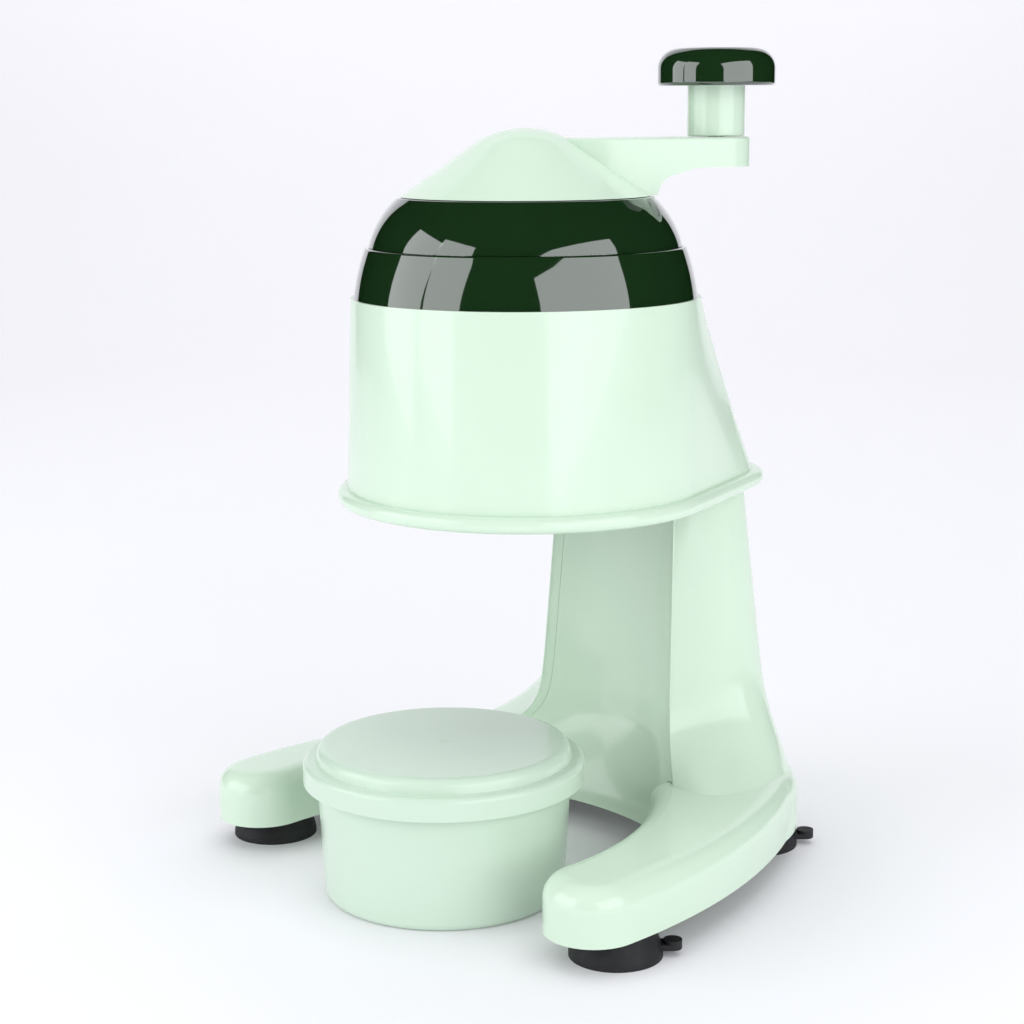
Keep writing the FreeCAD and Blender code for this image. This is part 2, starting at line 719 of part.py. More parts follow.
def make_column_panel(panel_skin):
    """Hollow front panel of the column, with two long bosses that reach its back."""
    panel = carved("panel_skin", panel_skin)
    posts, holes = [], []
    for count, z in enumerate(PANEL_SCREW_HEIGHTS):
        section = Column(z.value)
        low = section.middle.y + S.panel_wall.value / 2
        high = panel_boss_end(z.value) - 0.6
        post = Part.makeCylinder(S.boss_radius.value, high - low, point(0, low, z.value), point(0, 1, 0))
        posts.append(carved(f"panel_boss_{count}", post))
        hole = Part.makeCylinder(S.screw_radius.value, 15, point(0, high - 14, z.value), point(0, 1, 0))
        holes.append(carved(f"panel_boss_hole_{count}", hole))
    whole = joined("panel_with_bosses", [panel] + posts)
    keep(cut("column_panel", whole, holes), "column_panel")


def make_panel_screws():
    """Two screws from behind, through the column's back into the panel's bosses."""
    screws = []
    for z in PANEL_SCREW_HEIGHTS:
        back = Column(z.value).back.y + 0.5
        head = Part.makeCylinder(S.screw_head_radius.value, S.screw_head_height.value,
                                 point(0, back, z.value), point(0, 1, 0))
        shank = Part.makeCylinder(S.screw_radius.value, 16, point(0, back - 15.5, z.value), point(0, 1, 0))
        screws.append(head.fuse(shank))
    keep(carved("panel_screws", Part.makeCompound(screws)), "panel_screws")


def make_base_cover():
    """Flat cover under the legs, which also carries the suction cups."""
    gap = S.wall.value + S.joint_gap.value
    low = COVER_BOTTOM.value
    legs = leg_solid(gap, low, COVER_TOP.value, 0).cut(behind_ridges(S.joint_gap.value))
    section = Column(low + S.cover_wall.value).core(gap + 0.2)
    section.translate(point(0, 0, -S.cover_wall.value))
    middle = Part.Face(section).extrude(point(0, 0, S.cover_wall.value))
    front = Column(low).band(Column(low).ridge.x + 20, -10, S.panel_wall.value + 1.5)
    lip = Part.Face(front).extrude(point(0, 0, S.cover_wall.value + 1))
    plate = carved("cover_plate", legs.fuse(middle.cut(lip)).removeSplitter())
    holes = []
    for name, (x, y) in CUP_PLACES.items():
        holes.append(rod(f"neck_hole_{name}", S.cup_neck_radius, 6.0, x, y, COVER_BOTTOM - 2))
    for count, (x, y) in enumerate(cover_screw_places()):
        holes.append(rod(f"cover_hole_{count}", S.screw_radius + 0.2, 6.0, x, y, COVER_BOTTOM - 2))
    keep(cut("base_cover", plate, holes), "base_cover")


def upward_screw(name, x, y, seat, length):
    """Pan head screw whose head lies under a seat and whose shank goes up."""
    head = rod(name + "_head", S.screw_head_radius, S.screw_head_height, x, y, seat - S.screw_head_height)
    shank = rod(name + "_shank", S.screw_radius, length, x, y, seat)
    return joined(name, [head, shank])


def make_cover_screws():
    screws = []
    for count, (x, y) in enumerate(cover_screw_places()):
        screws.append(upward_screw(f"cover_screw_{count}", x, y, COVER_BOTTOM, S.cover_wall + 8))
    keep(grouped("cover_screws", screws), "cover_screws")


def make_drum_screws():
    screws = []
    for count, x in enumerate(both_sides(DRUM_SCREW[0])):
        screws.append(upward_screw(f"drum_screw_{count}", x, DRUM_SCREW[1], COLUMN_CEILING, S.wall + 9))
    keep(grouped("drum_screws", screws), "drum_screws")


def make_suction_cup(name, x, y):
    """Rubber cup with a hollow underside, a neck snapped into the cover and a pull tab."""
    radius, neck = S.cup_radius, S.cup_neck_radius
    crown = S.foot_height - S.slide_gap
    body = turned("suction_cup_" + name, [
        (0.0, 3.5 * ONE), (radius - 4.5, 0.5 * ONE), (radius - 4.5, 0.0), (radius, 0.0),
        (radius, 1.8 * ONE), (radius - 0.8, 5.0 * ONE), (radius - 3, crown), (neck + 5, crown),
        (neck + 5, COVER_BOTTOM), (neck, COVER_BOTTOM), (neck, COVER_TOP),
        (neck + 1.6, COVER_TOP), (neck - 1, COVER_TOP + 3.5), (0.0, COVER_TOP + 3.5),
    ])
    bind(body, "Placement.Base.x", x)
    bind(body, "Placement.Base.y", S.drum_axis_y + y)
    turn = TAB_ANGLE if x.value > 0 else 180 - TAB_ANGLE
    reach = radius + 3.5
    tab = block("tab_" + name, reach - radius + 3, S.tab_width, 2.2)
    tab.Placement.Rotation = FreeCAD.Rotation(FreeCAD.Vector(0, 0, 1), turn)
    start = radius - 3
    cos, sin = math.cos(math.radians(turn)), math.sin(math.radians(turn))
    half = S.tab_width / 2
    place(tab, x + start * cos + half * sin, y + start * sin - half * cos, TAB_HEIGHT)
    tip = rod("tab_tip_" + name, half, 3.4, x + reach * cos, y + reach * sin, TAB_HEIGHT)
    keep(joined("suction_cup_" + name, [body, tab, tip]), "suction_cup_" + name)


ONE = Size(1.0, "1")
# Direction of the right-hand cups' pull tabs, from +X towards +Y.
TAB_ANGLE = 44.0
TAB_HEIGHT = 2.4


def make_drum():
    """Drum housing: a round skirt with a rolled bead, drawn out over the column."""
    wall = S.wall.value
    bead = 2 * S.bead_radius.value
    outer = hood_solid(0, S.bead_radius.value)
    roll_face = Part.Face(hood_bottom(0, S.bead_radius.value + 0.7))
    roll = roll_face.extrude(point(0, 0, bead))
    roll.translate(point(0, 0, S.drum_bottom_height.value - S.bead_radius.value))
    edges = [edge for edge in roll.Edges if lies_at(edge, roll.BoundBox.ZMin) or lies_at(edge, roll.BoundBox.ZMax)]
    roll = roll.makeFillet(S.bead_radius.value - 0.3, edges)
    inner = hood_solid(wall, S.bead_radius.value)
    shape = outer.fuse(roll).removeSplitter()
    shell = shape.cut(inner)
    posts = []
    half, behind = DRUM_SCREW[0].value, DRUM_SCREW[1].value
    for x in (-half, half):
        start = point(x, behind, COLUMN_TOP.value)
        posts.append(Part.makeCylinder(S.boss_radius.value, 34, start).common(outer))
    holes = []
    for x in (-half, half):
        start = point(x, behind, COLUMN_TOP.value - 1)
        holes.append(Part.makeCylinder(S.screw_radius.value, 11, start))
    whole = shell.multiFuse(posts).removeSplitter()
    for hole in holes:
        whole = whole.cut(hole)
    keep(carved("drum_housing", whole), "drum_housing")


def make_hopper():
    """Ice hopper: the dark collar on the drum's rim, the well and its floor with the outlet."""
    rim_inside = S.drum_top_radius - S.wall - S.slide_gap
    bottom, floor_top = FLOOR_BOTTOM, FLOOR_TOP
    well = S.hopper_radius
    seat = S.drum_top_height
    lip = S.collar_top_radius - 4
    inside = well - S.hopper_wall
    body = turned("hopper", [
        (0.0, bottom), (well, bottom), (well + 3, seat - 3), (rim_inside, seat - 3),
        (rim_inside, seat), (S.collar_bottom_radius, seat), (S.collar_top_radius, LID_BOTTOM),
        (lip, LID_BOTTOM), (lip, LID_BOTTOM - S.spigot_height - 0.5), (inside + 3, seat - 3),
        (inside, floor_top), (0.0, floor_top),
    ], rounds=[(0.8, S.collar_top_radius, LID_BOTTOM)], bends={5: 90.0})
    slot = block("outlet_slot", S.outlet_width, S.blade_length + 2, S.hopper_floor + 2,
                 BLADE_EDGE_X - BLADE_LIP, -BLADE_START - S.blade_length - 1, bottom - 1)
    holes = [slot]
    for count, (x, y) in enumerate(BLADE_SCREWS):
        holes.append(rod(f"blade_hole_{count}", S.screw_radius, S.hopper_floor + 2, x, y, bottom - 1))
    keep(cut("ice_hopper", body, holes), "ice_hopper")


# The blade lies in front of the drum axis; its cutting edge faces +X, so that ice carried
# round clockwise, seen from above, meets it.
BLADE_EDGE_X = -0.5
BLADE_LIP = 1.5
BLADE_START = 9.0
BLADE_SCREWS = ((-8.0, -18.0), (-8.0, -40.0))


def make_blade():
    """Steel blade on the hopper's floor; its ground edge stands over the outlet."""
    floor_top = FLOOR_TOP
    plate = block("blade_plate", S.blade_width, S.blade_length, S.blade_thickness,
                  BLADE_EDGE_X - S.blade_width, -BLADE_START - S.blade_length, floor_top)
    edge = DOC.addObject("Part::Chamfer", "blade_edge")
    edge.Base = plate
    DOC.recompute()
    middle = S.drum_axis_y.value - BLADE_START - S.blade_length.value / 2
    index = edge_index(plate.Shape, point(BLADE_EDGE_X, middle, floor_top.value))
    edge.Edges = [(index, 0.8, 1.5)]
    holes = []
    for count, (x, y) in enumerate(BLADE_SCREWS):
        holes.append(rod(f"blade_eye_{count}", S.screw_radius + 0.1, 4.0, x, y, floor_top - 1))
    keep(cut("shaving_blade", edge, holes), "shaving_blade")
    screws = []
    for count, (x, y) in enumerate(BLADE_SCREWS):
        seat = floor_top + S.blade_thickness
        head = rod(f"blade_screw_head_{count}", S.screw_head_radius, S.screw_head_height, x, y, seat)
        grip = S.blade_thickness + 3.5
        shank = rod(f"blade_screw_shank_{count}", S.screw_radius, grip, x, y, seat - grip)
        screws.append(joined(f"blade_screw_{count}", [head, shank]))
    keep(grouped("blade_screws", screws), "blade_screws")


def edge_index(shape, spot):
    """Number of the edge whose middle is nearest to a spot."""
    gaps = [edge.CenterOfMass.distanceToPoint(spot) for edge in shape.Edges]
    return gaps.index(min(gaps)) + 1


def make_lid():
    """Dark lid: a round cover with a spigot inside the collar and a thick middle for the bush."""
    wall = S.lid_wall
    spigot = S.collar_top_radius - 4 - S.slide_gap
    thick = LID_TOP - 4.5
    body = turned("lid", [
        (S.bush_radius, LID_TOP), (S.bush_radius, thick), (S.bush_radius + 5, thick),
        (S.bush_radius + 5, LID_TOP - wall), (S.lid_top_radius - 4, LID_TOP - wall),
        (spigot - wall, LID_BOTTOM + 1), (spigot - wall, LID_BOTTOM - S.spigot_height),
        (spigot, LID_BOTTOM - S.spigot_height), (spigot, LID_BOTTOM + S.joint_gap),
        (S.lid_bottom_radius, LID_BOTTOM + S.joint_gap), (S.lid_top_radius, LID_TOP),
    ], rounds=[(1.0, S.lid_top_radius, LID_TOP)], bends={9: S.lid_crown_radius, 4: -34.0})
    keep(body, "lid")


def make_lid_bush():
    """Nylon bush in the lid that the crank's hub turns in."""
    bore = S.hub_radius + S.running_gap
    low = LID_TOP - 6
    body = turned("lid_bush", [
        (bore, low), (S.bush_radius + 3, low), (S.bush_radius + 3, low + 1.5),
        (S.bush_radius, low + 1.5), (S.bush_radius, LID_TOP), (bore, LID_TOP),
    ])
    keep(body, "lid_bush")

HUB_SCREW_COUNT = 3
HUB_SCREW_RING = 15.0
FLANGE_LOW = LID_TOP + 2.6
FLANGE_TOP = FLANGE_LOW + 2.4
CLIP_TOP = LID_TOP - 6 - 0.25
CLIP_LOW = CLIP_TOP - 1.2
SHAFT_TOP = GRIPPER_BOTTOM + 2 + S.shaft_length
STOP_PIN_RADIUS = 1.5
STOP_PIN_HEIGHT = SHAFT_TOP - 3
SHOULDER = STOP_PIN_HEIGHT - STOP_PIN_RADIUS - 0.1


def make_drive_hub():
    """Hub under the crank: a square bore that drives the shaft, then a round bore for its pin."""
    shaft_half = S.shaft_width / 2 + S.running_gap
    body = turned("drive_hub_blank", [
        (0.0, HUB_BOTTOM), (S.hub_radius, HUB_BOTTOM), (S.hub_radius, CLIP_LOW - 0.1),
        (S.hub_radius - 1, CLIP_LOW - 0.1), (S.hub_radius - 1, CLIP_TOP + 0.1),
        (S.hub_radius, CLIP_TOP + 0.1), (S.hub_radius, FLANGE_LOW),
        (S.hub_flange_radius, FLANGE_LOW), (S.hub_flange_radius, FLANGE_TOP), (0.0, FLANGE_TOP),
    ])
    square = block("hub_square", 2 * shaft_half, 2 * shaft_half, S.hub_length, -shaft_half, -shaft_half,
                   HUB_BOTTOM - 1)
    bore_radius = S.shaft_width * 0.7072 + 0.6
    bore = rod("hub_bore", bore_radius, S.hub_length + 10, 0.0, 0.0, SHOULDER)
    holes = [square, bore]
    for count, (x, y) in enumerate(hub_screw_places()):
        holes.append(rod(f"hub_hole_{count}", S.screw_radius, 8.0, x, y, FLANGE_LOW - 2))
    keep(cut("drive_hub", body, holes), "drive_hub")


def hub_screw_places():
    turns = [math.radians(30 + 360 * count / HUB_SCREW_COUNT) for count in range(HUB_SCREW_COUNT)]
    return [(HUB_SCREW_RING * math.cos(turn), HUB_SCREW_RING * math.sin(turn)) for turn in turns]


def make_hub_screws():
    screws = []
    for count, (x, y) in enumerate(hub_screw_places()):
        screws.append(upward_screw(f"hub_screw_{count}", x, y, FLANGE_LOW, 8.5))
    keep(grouped("hub_screws", screws), "hub_screws")


def make_hub_clip():
    """Ring in the hub's groove; it keeps the hub in the bush and seats the feed spring."""
    outer = rod("clip_outer", S.spring_radius + 2, CLIP_TOP - CLIP_LOW, 0.0, 0.0, CLIP_LOW)
    inner = rod("clip_inner", S.hub_radius - 1, 4.0, 0.0, 0.0, CLIP_LOW - 1)
    gap = block("clip_gap", S.hub_radius * 2, 5.0, 4.0, 0.0, -2.5, CLIP_LOW - 1)
    keep(cut("hub_clip", outer, [inner, gap]), "hub_clip")


def make_crank():
    """Pale dome that covers the lid, with the flat-topped arm that carries the grip."""
    base, top = DOME_BOTTOM, DOME_BOTTOM + S.dome_height
    slope = math.tan(math.radians(S.dome_slope.value))
    flat = S.dome_radius - S.dome_height / slope
    outer = turned("dome", [(0.0, base), (S.dome_radius, base), (flat, top), (0.0, top)],
                   rounds=[(S.dome_nose_radius, flat, top)])
    wall = S.dome_wall
    inner = turned("dome_space", [(0.0, base - 1), (S.dome_radius - wall + 1.4, base - 1),
                                  (flat + 1.5, top - wall - 2), (0.0, top - wall)])
    arm = carved("crank_arm_blank", arm_shape())
    whole = cut("dome_shell", joined("dome_and_arm", [outer, arm]), [inner])
    posts, holes = [whole], []
    for count, (x, y) in enumerate(hub_screw_places()):
        height = base + S.dome_height - 8 - FLANGE_TOP
        posts.append(rod(f"dome_boss_{count}", 3.2, height, x, y, FLANGE_TOP))
        holes.append(rod(f"dome_boss_hole_{count}", S.screw_radius, 6.4, x, y, FLANGE_TOP - 0.2))
    end_x, end_y = grip_place()
    low = ARM_TOP - S.arm_end_thickness
    holes.append(rod("pin_hole", S.grip_pin_radius, S.arm_end_thickness + 4, end_x, end_y, low - 2))
    holes.append(rod("nut_recess", NUT_RADIUS + 0.6, NUT_HEIGHT + 1.5, end_x, end_y, low - 1))
    keep(cut("crank", joined("crank_blank", posts), holes), "crank")


NUT_RADIUS = 5.6
NUT_HEIGHT = 4.0


def grip_place():
    """The grip's axis, seen from the drum axis."""
    turn = math.radians(S.arm_angle.value)
    cos, sin = math.cos(turn), math.sin(turn)
    return S.arm_length * cos, S.arm_length * sin


def arm_shape():
    """Arm: a leaf in plan, flat on top, thicker towards the dome and rounded at its end."""
    reach, end = S.arm_length.value, S.arm_end_radius.value
    belly, place_along = S.arm_belly_half.value, S.arm_belly_reach.value
    high = ARM_TOP.value
    low = high - S.arm_end_thickness.value
    base = DOME_BOTTOM.value
    taper_angle = 11.5
    root = point(0.3 * place_along, belly * 0.52)
    tip = point(reach, 0) + spoke(end, 90 - taper_angle)
    swell = point(0.63 * place_along, belly * 1.24)
    narrowing = tip + spoke(place_along / 2, 180 - taper_angle)

    def under(spot):
        return point(spot.x, -spot.y)

    side_curve = [root, swell, narrowing, tip]
    plan = Part.Face(Part.Wire([
        bezier_edge(side_curve),
        arc_edge(tip, point(reach + end, 0), under(tip)),
        bezier_edge([under(spot) for spot in reversed(side_curve)]),
        line_edge(under(root), root),
    ])).extrude(point(0, 0, 2 * S.dome_height.value))
    plan.translate(point(0, 0, base))
    rim = S.dome_radius.value
    beyond, drop = reach + 1.4 * end, 0.2 * S.arm_end_thickness.value
    neck = rim + 0.6 * end
    side = Part.Face(Part.Wire([
        line_edge(point(0, 0, high), point(beyond, 0, high)),
        line_edge(point(beyond, 0, high), point(beyond, 0, low)),
        line_edge(point(beyond, 0, low), point(reach - end, 0, low)),
        line_edge(point(reach - end, 0, low), point(neck, 0, low - drop)),
        arc_edge(point(neck, 0, low - drop), point(rim + 0.2 * end, 0, low - 2 * drop), point(rim, 0, base)),
        line_edge(point(rim, 0, base), point(0, 0, base)),
        line_edge(point(0, 0, base), point(0, 0, high)),
    ])).extrude(point(0, 4 * belly, 0))
    side.translate(point(0, -2 * belly, 0))
    arm = plan.common(side).removeSplitter()
    edges = [edge for edge in arm.Edges if edge.CenterOfMass.x > 20 and lies_at(edge, high)]
    arm = arm.makeFillet(1.2, edges)
    arm.rotate(point(0, 0), point(0, 0, 1), S.arm_angle.value)
    return arm


def make_drive_shaft():
    """Square steel shaft; its pin stops it in the hub and its threaded foot holds the gripper."""
    half = S.shaft_width / 2
    low = GRIPPER_BOTTOM + 2
    bar = block("shaft_bar", S.shaft_width, S.shaft_width, S.shaft_length, -half, -half, low)
    eye = rod("shaft_eye", STOP_PIN_RADIUS, S.shaft_width + 4, 0.0, -half - 2, STOP_PIN_HEIGHT, (1, 0, 0), -90)
    bore = rod("shaft_bore", S.screw_radius, 12.0, 0.0, 0.0, low - 1)
    keep(cut("drive_shaft", bar, [eye, bore]), "drive_shaft")
    reach = S.shaft_width * 0.7072 + 0.3
    pin = rod("stop_pin", STOP_PIN_RADIUS, 2 * reach, 0.0, -reach, STOP_PIN_HEIGHT, (1, 0, 0), -90)
    keep(pin, "stop_pin")


def make_gripper():
    """Disc with spikes under it that bite the ice and carry it round over the blade."""
    half = S.shaft_width / 2
    body = turned("gripper_disc", [
        (0.0, GRIPPER_BOTTOM), (S.gripper_radius, GRIPPER_BOTTOM), (S.gripper_radius, GRIPPER_TOP),
        (10.5 * ONE, GRIPPER_TOP), (9.0 * ONE, GRIPPER_TOP + S.gripper_boss_height), (0.0, GRIPPER_TOP + S.gripper_boss_height),
    ])
    spikes = [body]
    for ring, (reach, count) in enumerate(((20.0, 4), (37.0, 8))):
        for step in range(count):
            turn = 2 * math.pi * (step + 0.5 * ring) / count
            x, y = reach * math.cos(turn), reach * math.sin(turn)
            low = GRIPPER_BOTTOM - S.spike_length
            spikes.append(taper(f"spike_{ring}_{step}", 0.5, 2.6, S.spike_length + 1, x, y, low))
    pocket = block("shaft_pocket", S.shaft_width, S.shaft_width, 12.0, -half, -half, GRIPPER_BOTTOM + 2)
    hole = rod("gripper_hole", S.screw_radius + 0.2, 6.0, 0.0, 0.0, GRIPPER_BOTTOM - 2)
    keep(cut("ice_gripper", joined("gripper_blank", spikes), [pocket, hole]), "ice_gripper")
    keep(upward_screw("gripper_screw", 0.0, 0.0, GRIPPER_BOTTOM, 11.0), "gripper_screw")


def make_feed_spring():
    """Coil spring round the hub: it presses the gripper down on the ice."""
    radius, wire = S.spring_radius.value, S.spring_wire_radius.value
    low, high = GRIPPER_TOP.value + wire + 0.05, CLIP_LOW.value - wire - 0.05
    steps = int(S.spring_turns.value * 4)
    rise = (high - low) / steps
    slope = rise / (math.pi / 2)

    def spot(step):
        turn = step * math.pi / 2
        return point(radius * math.cos(turn), radius * math.sin(turn), low + rise * step)

    def heading(step):
        turn = step * math.pi / 2
        return point(-radius * math.sin(turn), radius * math.cos(turn), slope).normalize()

    edges = []
    for step in range(steps):
        edges += biarc(spot(step), heading(step), spot(step + 1), heading(step + 1))
    path = Part.Wire(edges)
    ring = Part.Wire([Part.Circle(spot(0), heading(0), wire).toShape()])
    spring = Part.BRepOffsetAPI.MakePipeShell(path)
    spring.add(ring)
    spring.build()
    spring.makeSolid()
    print(f"feed spring: least gap between turns {4 * rise - 2 * wire:.2f} mm")
    keep(carved("feed_spring", spring.shape()), "feed_spring")


def biarc(first, way, last, end_way):
    """Two arcs that join two points with the given directions at both ends."""
    across = last - first
    both = way + end_way
    spare = 2 * (1 - way.dot(end_way))
    along = across.dot(both)
    reach = (-along + math.sqrt(along * along + spare * across.dot(across))) / spare
    middle = (first + last + (way - end_way) * reach) * 0.5
    return [tangent_arc(first, way, middle), tangent_arc(last, -end_way, middle, back=True)]


def tangent_arc(first, way, last, back=False):
    """Arc from a point with a direction there to another point."""
    chord = last - first
    flat = chord * (way.dot(chord) / chord.dot(chord))
    lift = (way - flat).normalize()
    angle = way.getAngle(chord)
    bulge = lift * (chord.Length / 2 * math.tan(angle / 2))
    middle = first + chord * 0.5 + bulge
    ends = (last, first) if back else (first, last)
    return arc_edge(ends[0], middle, ends[1])


def make_grip():
    """Pin, nut, pale stem and dark knob at the end of the crank arm."""
    x, y = grip_place()
    head_seat = KNOB_BOTTOM + 3
    low = ARM_TOP - S.arm_end_thickness
    shank_low = low + 0.6
    pin = rod("pin_shank", S.grip_pin_radius, head_seat - shank_low, x, y, shank_low)
    head = rod("pin_head", 5.5, 3.0, x, y, head_seat)
    keep(joined("grip_pin", [pin, head]), "grip_pin")
    nut_low = low + 0.5
    nut = hexagon("nut_blank", NUT_RADIUS, NUT_HEIGHT, x, y, nut_low)
    nut_hole = rod("nut_hole", S.grip_pin_radius, NUT_HEIGHT + 2, x, y, nut_low - 1)
    keep(cut("grip_nut", nut, [nut_hole]), "grip_nut")
    bore = S.grip_pin_radius + S.running_gap
    stem = turned("grip_stem", [
        (bore, STEM_BOTTOM), (S.stem_radius, STEM_BOTTOM), (S.stem_radius, KNOB_BOTTOM),
        (9.0 * ONE, KNOB_BOTTOM), (9.0 * ONE, head_seat - 0.3), (bore, head_seat - 0.3),
    ], rounds=[(0.6, S.stem_radius, STEM_BOTTOM)])
    knob_top = KNOB_BOTTOM + S.knob_height
    knob = turned("grip_knob", [
        (9.0 * ONE, KNOB_BOTTOM), (S.knob_radius, KNOB_BOTTOM), (S.knob_radius, knob_top - 1.2),
        (0.0, knob_top), (0.0, head_seat + 4), (7.0 * ONE, head_seat + 4), (7.0 * ONE, head_seat - 0.3),
        (9.0 * ONE, head_seat - 0.3),
    ], rounds=[(S.knob_round, S.knob_radius, knob_top - 1.2), (1.5, S.knob_radius, KNOB_BOTTOM)])
    for thing, name in ((stem, "grip_stem"), (knob, "grip_knob")):
        bind(thing, "Placement.Base.x", x)
        bind(thing, "Placement.Base.y", S.drum_axis_y + y)
        keep(thing, name)


def make_ice_box():
    """Round ice box with a rolled rim, and its lid with a raised middle."""
    wall, top = S.box_wall, S.box_height
    rim = S.box_lid_radius - 2.2
    box = turned("ice_box", [
        (0.0, 0.0), (S.box_bottom_radius, 0.0), (S.box_top_radius, top - 2.5), (rim - 0.3, top - 2.5),
        (rim - 0.3, top), (S.box_top_radius - wall, top), (S.box_bottom_radius - wall, wall + 0.5),
        (0.0, wall + 0.5),
    ], rounds=[(3.0, S.box_bottom_radius, 0.0)])
    high = top + 2.4
    plug = S.box_top_radius - wall - S.slide_gap
    raised = S.box_lid_raised_radius
    lid = turned("ice_box_lid", [
        (0.0, high + S.box_lid_rise), (raised, high + S.box_lid_rise), (raised + 1.2, high),
        (S.box_lid_radius, high), (S.box_lid_radius, high - S.box_lid_skirt),
        (rim, high - S.box_lid_skirt), (rim, top), (plug, top), (plug, top - 3), (plug - wall, top - 3),
        (plug - wall, high + S.box_lid_rise - wall), (0.0, high + S.box_lid_rise - wall),
    ], rounds=[(3.8, raised, high + S.box_lid_rise), (2.2, S.box_lid_radius, high)])
    for thing, name in ((box, "ice_box"), (lid, "ice_box_lid")):
        bind(thing, "Placement.Base.x", S.box_across)
        bind(thing, "Placement.Base.y", S.drum_axis_y - S.box_reach)
        keep(thing, name)


def check_and_write():
    """Refuse a failed or broken piece, then write each piece to its own file."""
    DOC.recompute()
    for thing in DOC.Objects:
        if "Invalid" in thing.State or "Error" in thing.State:
            raise ValueError(f"{thing.Name} failed to build")
    os.makedirs("parts", exist_ok=True)
    for piece in PIECES:
        shape = piece.Shape
        if shape.isNull() or not shape.isValid() or not shape.Solids:
            raise ValueError(f"{piece.Label} has no valid solid")
        shape.exportStep(f"parts/{piece.Label}.step")
        box = shape.BoundBox
        print(f"{piece.Label}: {len(shape.Solids)} solid(s), {shape.Volume:.0f} mm3, "
              f"z {box.ZMin:.1f} to {box.ZMax:.1f}")


def main():
    """Make every piece, check it and write it."""
    shell, panel_skin = make_stand()
    make_stand_body(shell)
    make_column_panel(panel_skin)
    make_panel_screws()
    make_base_cover()
    make_cover_screws()
    make_drum_screws()
    for name, (x, y) in CUP_PLACES.items():
        make_suction_cup(name, x, y)
    make_drum()
    make_hopper()
    make_blade()
    make_lid()
    make_lid_bush()
    make_drive_hub()
    make_hub_screws()
    make_hub_clip()
    make_crank()
    make_drive_shaft()
    make_gripper()
    make_feed_spring()
    make_grip()
    make_ice_box()
    check_and_write()


if __name__ == "__main__":
    main()
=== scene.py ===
"""An ice shaver with a crank: finishes, fine pieces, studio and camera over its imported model."""

import json
import math

import bmesh
import bpy
from mathutils import Euler, Matrix, Vector


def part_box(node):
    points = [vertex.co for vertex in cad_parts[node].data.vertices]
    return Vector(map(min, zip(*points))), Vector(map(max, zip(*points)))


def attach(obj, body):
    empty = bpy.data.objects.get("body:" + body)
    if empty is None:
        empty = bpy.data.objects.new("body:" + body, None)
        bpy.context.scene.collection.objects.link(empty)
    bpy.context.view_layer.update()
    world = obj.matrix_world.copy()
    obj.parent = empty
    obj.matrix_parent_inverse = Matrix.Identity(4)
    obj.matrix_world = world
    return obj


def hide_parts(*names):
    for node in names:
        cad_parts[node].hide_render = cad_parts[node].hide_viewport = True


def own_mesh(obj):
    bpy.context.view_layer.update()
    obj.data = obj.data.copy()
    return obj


bl_info = {
    "name": "Ice shaver with crank",
    "version": (1, 0, 0),
    "blender": (4, 5, 0),
    "location": "View3D > Sidebar > Ice Shaver",
    "description": "Finishes, mould lines, studio and camera for the packed ice shaver",
    "category": "3D View",
}

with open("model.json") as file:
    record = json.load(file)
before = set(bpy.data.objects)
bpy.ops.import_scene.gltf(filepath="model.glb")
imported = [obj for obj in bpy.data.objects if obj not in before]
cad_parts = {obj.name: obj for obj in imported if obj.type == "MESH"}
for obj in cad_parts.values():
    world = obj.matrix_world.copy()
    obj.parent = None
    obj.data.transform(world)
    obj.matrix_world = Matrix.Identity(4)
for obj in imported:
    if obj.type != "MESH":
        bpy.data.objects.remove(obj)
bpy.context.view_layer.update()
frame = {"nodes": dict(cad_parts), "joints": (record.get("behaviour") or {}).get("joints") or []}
NODES = frame["nodes"]

# The CAD nodes, by their finish.
SHELL_NODES = ("stand_body", "column_panel", "drum_housing", "crank", "grip_stem")
BOX_NODES = ("ice_box", "ice_box_lid")
GLOSS_NODES = ("ice_hopper", "lid", "grip_knob", "ice_gripper")
COVER_NODES = ("base_cover", "drive_hub")
BUSH_NODES = ("lid_bush",)
STEEL_NODES = ("drive_shaft", "stop_pin", "grip_pin", "hub_clip", "feed_spring")
BLADE_NODES = ("shaving_blade",)
ZINC_NODES = (
    "grip_nut", "gripper_screw", "panel_screws", "cover_screws", "drum_screws",
    "hub_screws", "blade_screws",
)
CUP_NODES = (
    "suction_cup_front_left", "suction_cup_front_right",
    "suction_cup_rear_left", "suction_cup_rear_right",
)

# Lengths are in metres, and bearings are in degrees from the camera's side of the part.

# The mould lines run up the column's front edges, which face forwards and a little outwards.
SEAM_FOOT = 0.060
SEAM_LENGTH = 0.094
SEAM_STEPS = 40
SEAM_HEIGHTS = [SEAM_FOOT + SEAM_LENGTH * step / SEAM_STEPS for step in range(SEAM_STEPS + 1)]
RIDGE_OUTWARDS = 0.2
RIDGE_FORWARDS = 0.98
RIDGE_FROM_MIDDLE = 0.01

# The feed spring's wire, and the part of a turn that lies flat at each of its ends.
WIRE_STEPS_PER_TURN = 36
WIRE_SIDES = 12
FLAT_TURNS = 0.75

# The gate mark's section, as (radius, height) over the top of the ice box lid.
GATE_PROFILE = (
    (0.0, 0.00002), (0.0009, 0.00004), (0.0013, 0.00022), (0.0017, 0.00018), (0.0021, -0.0001),
)
GATE_SEGMENTS = 40

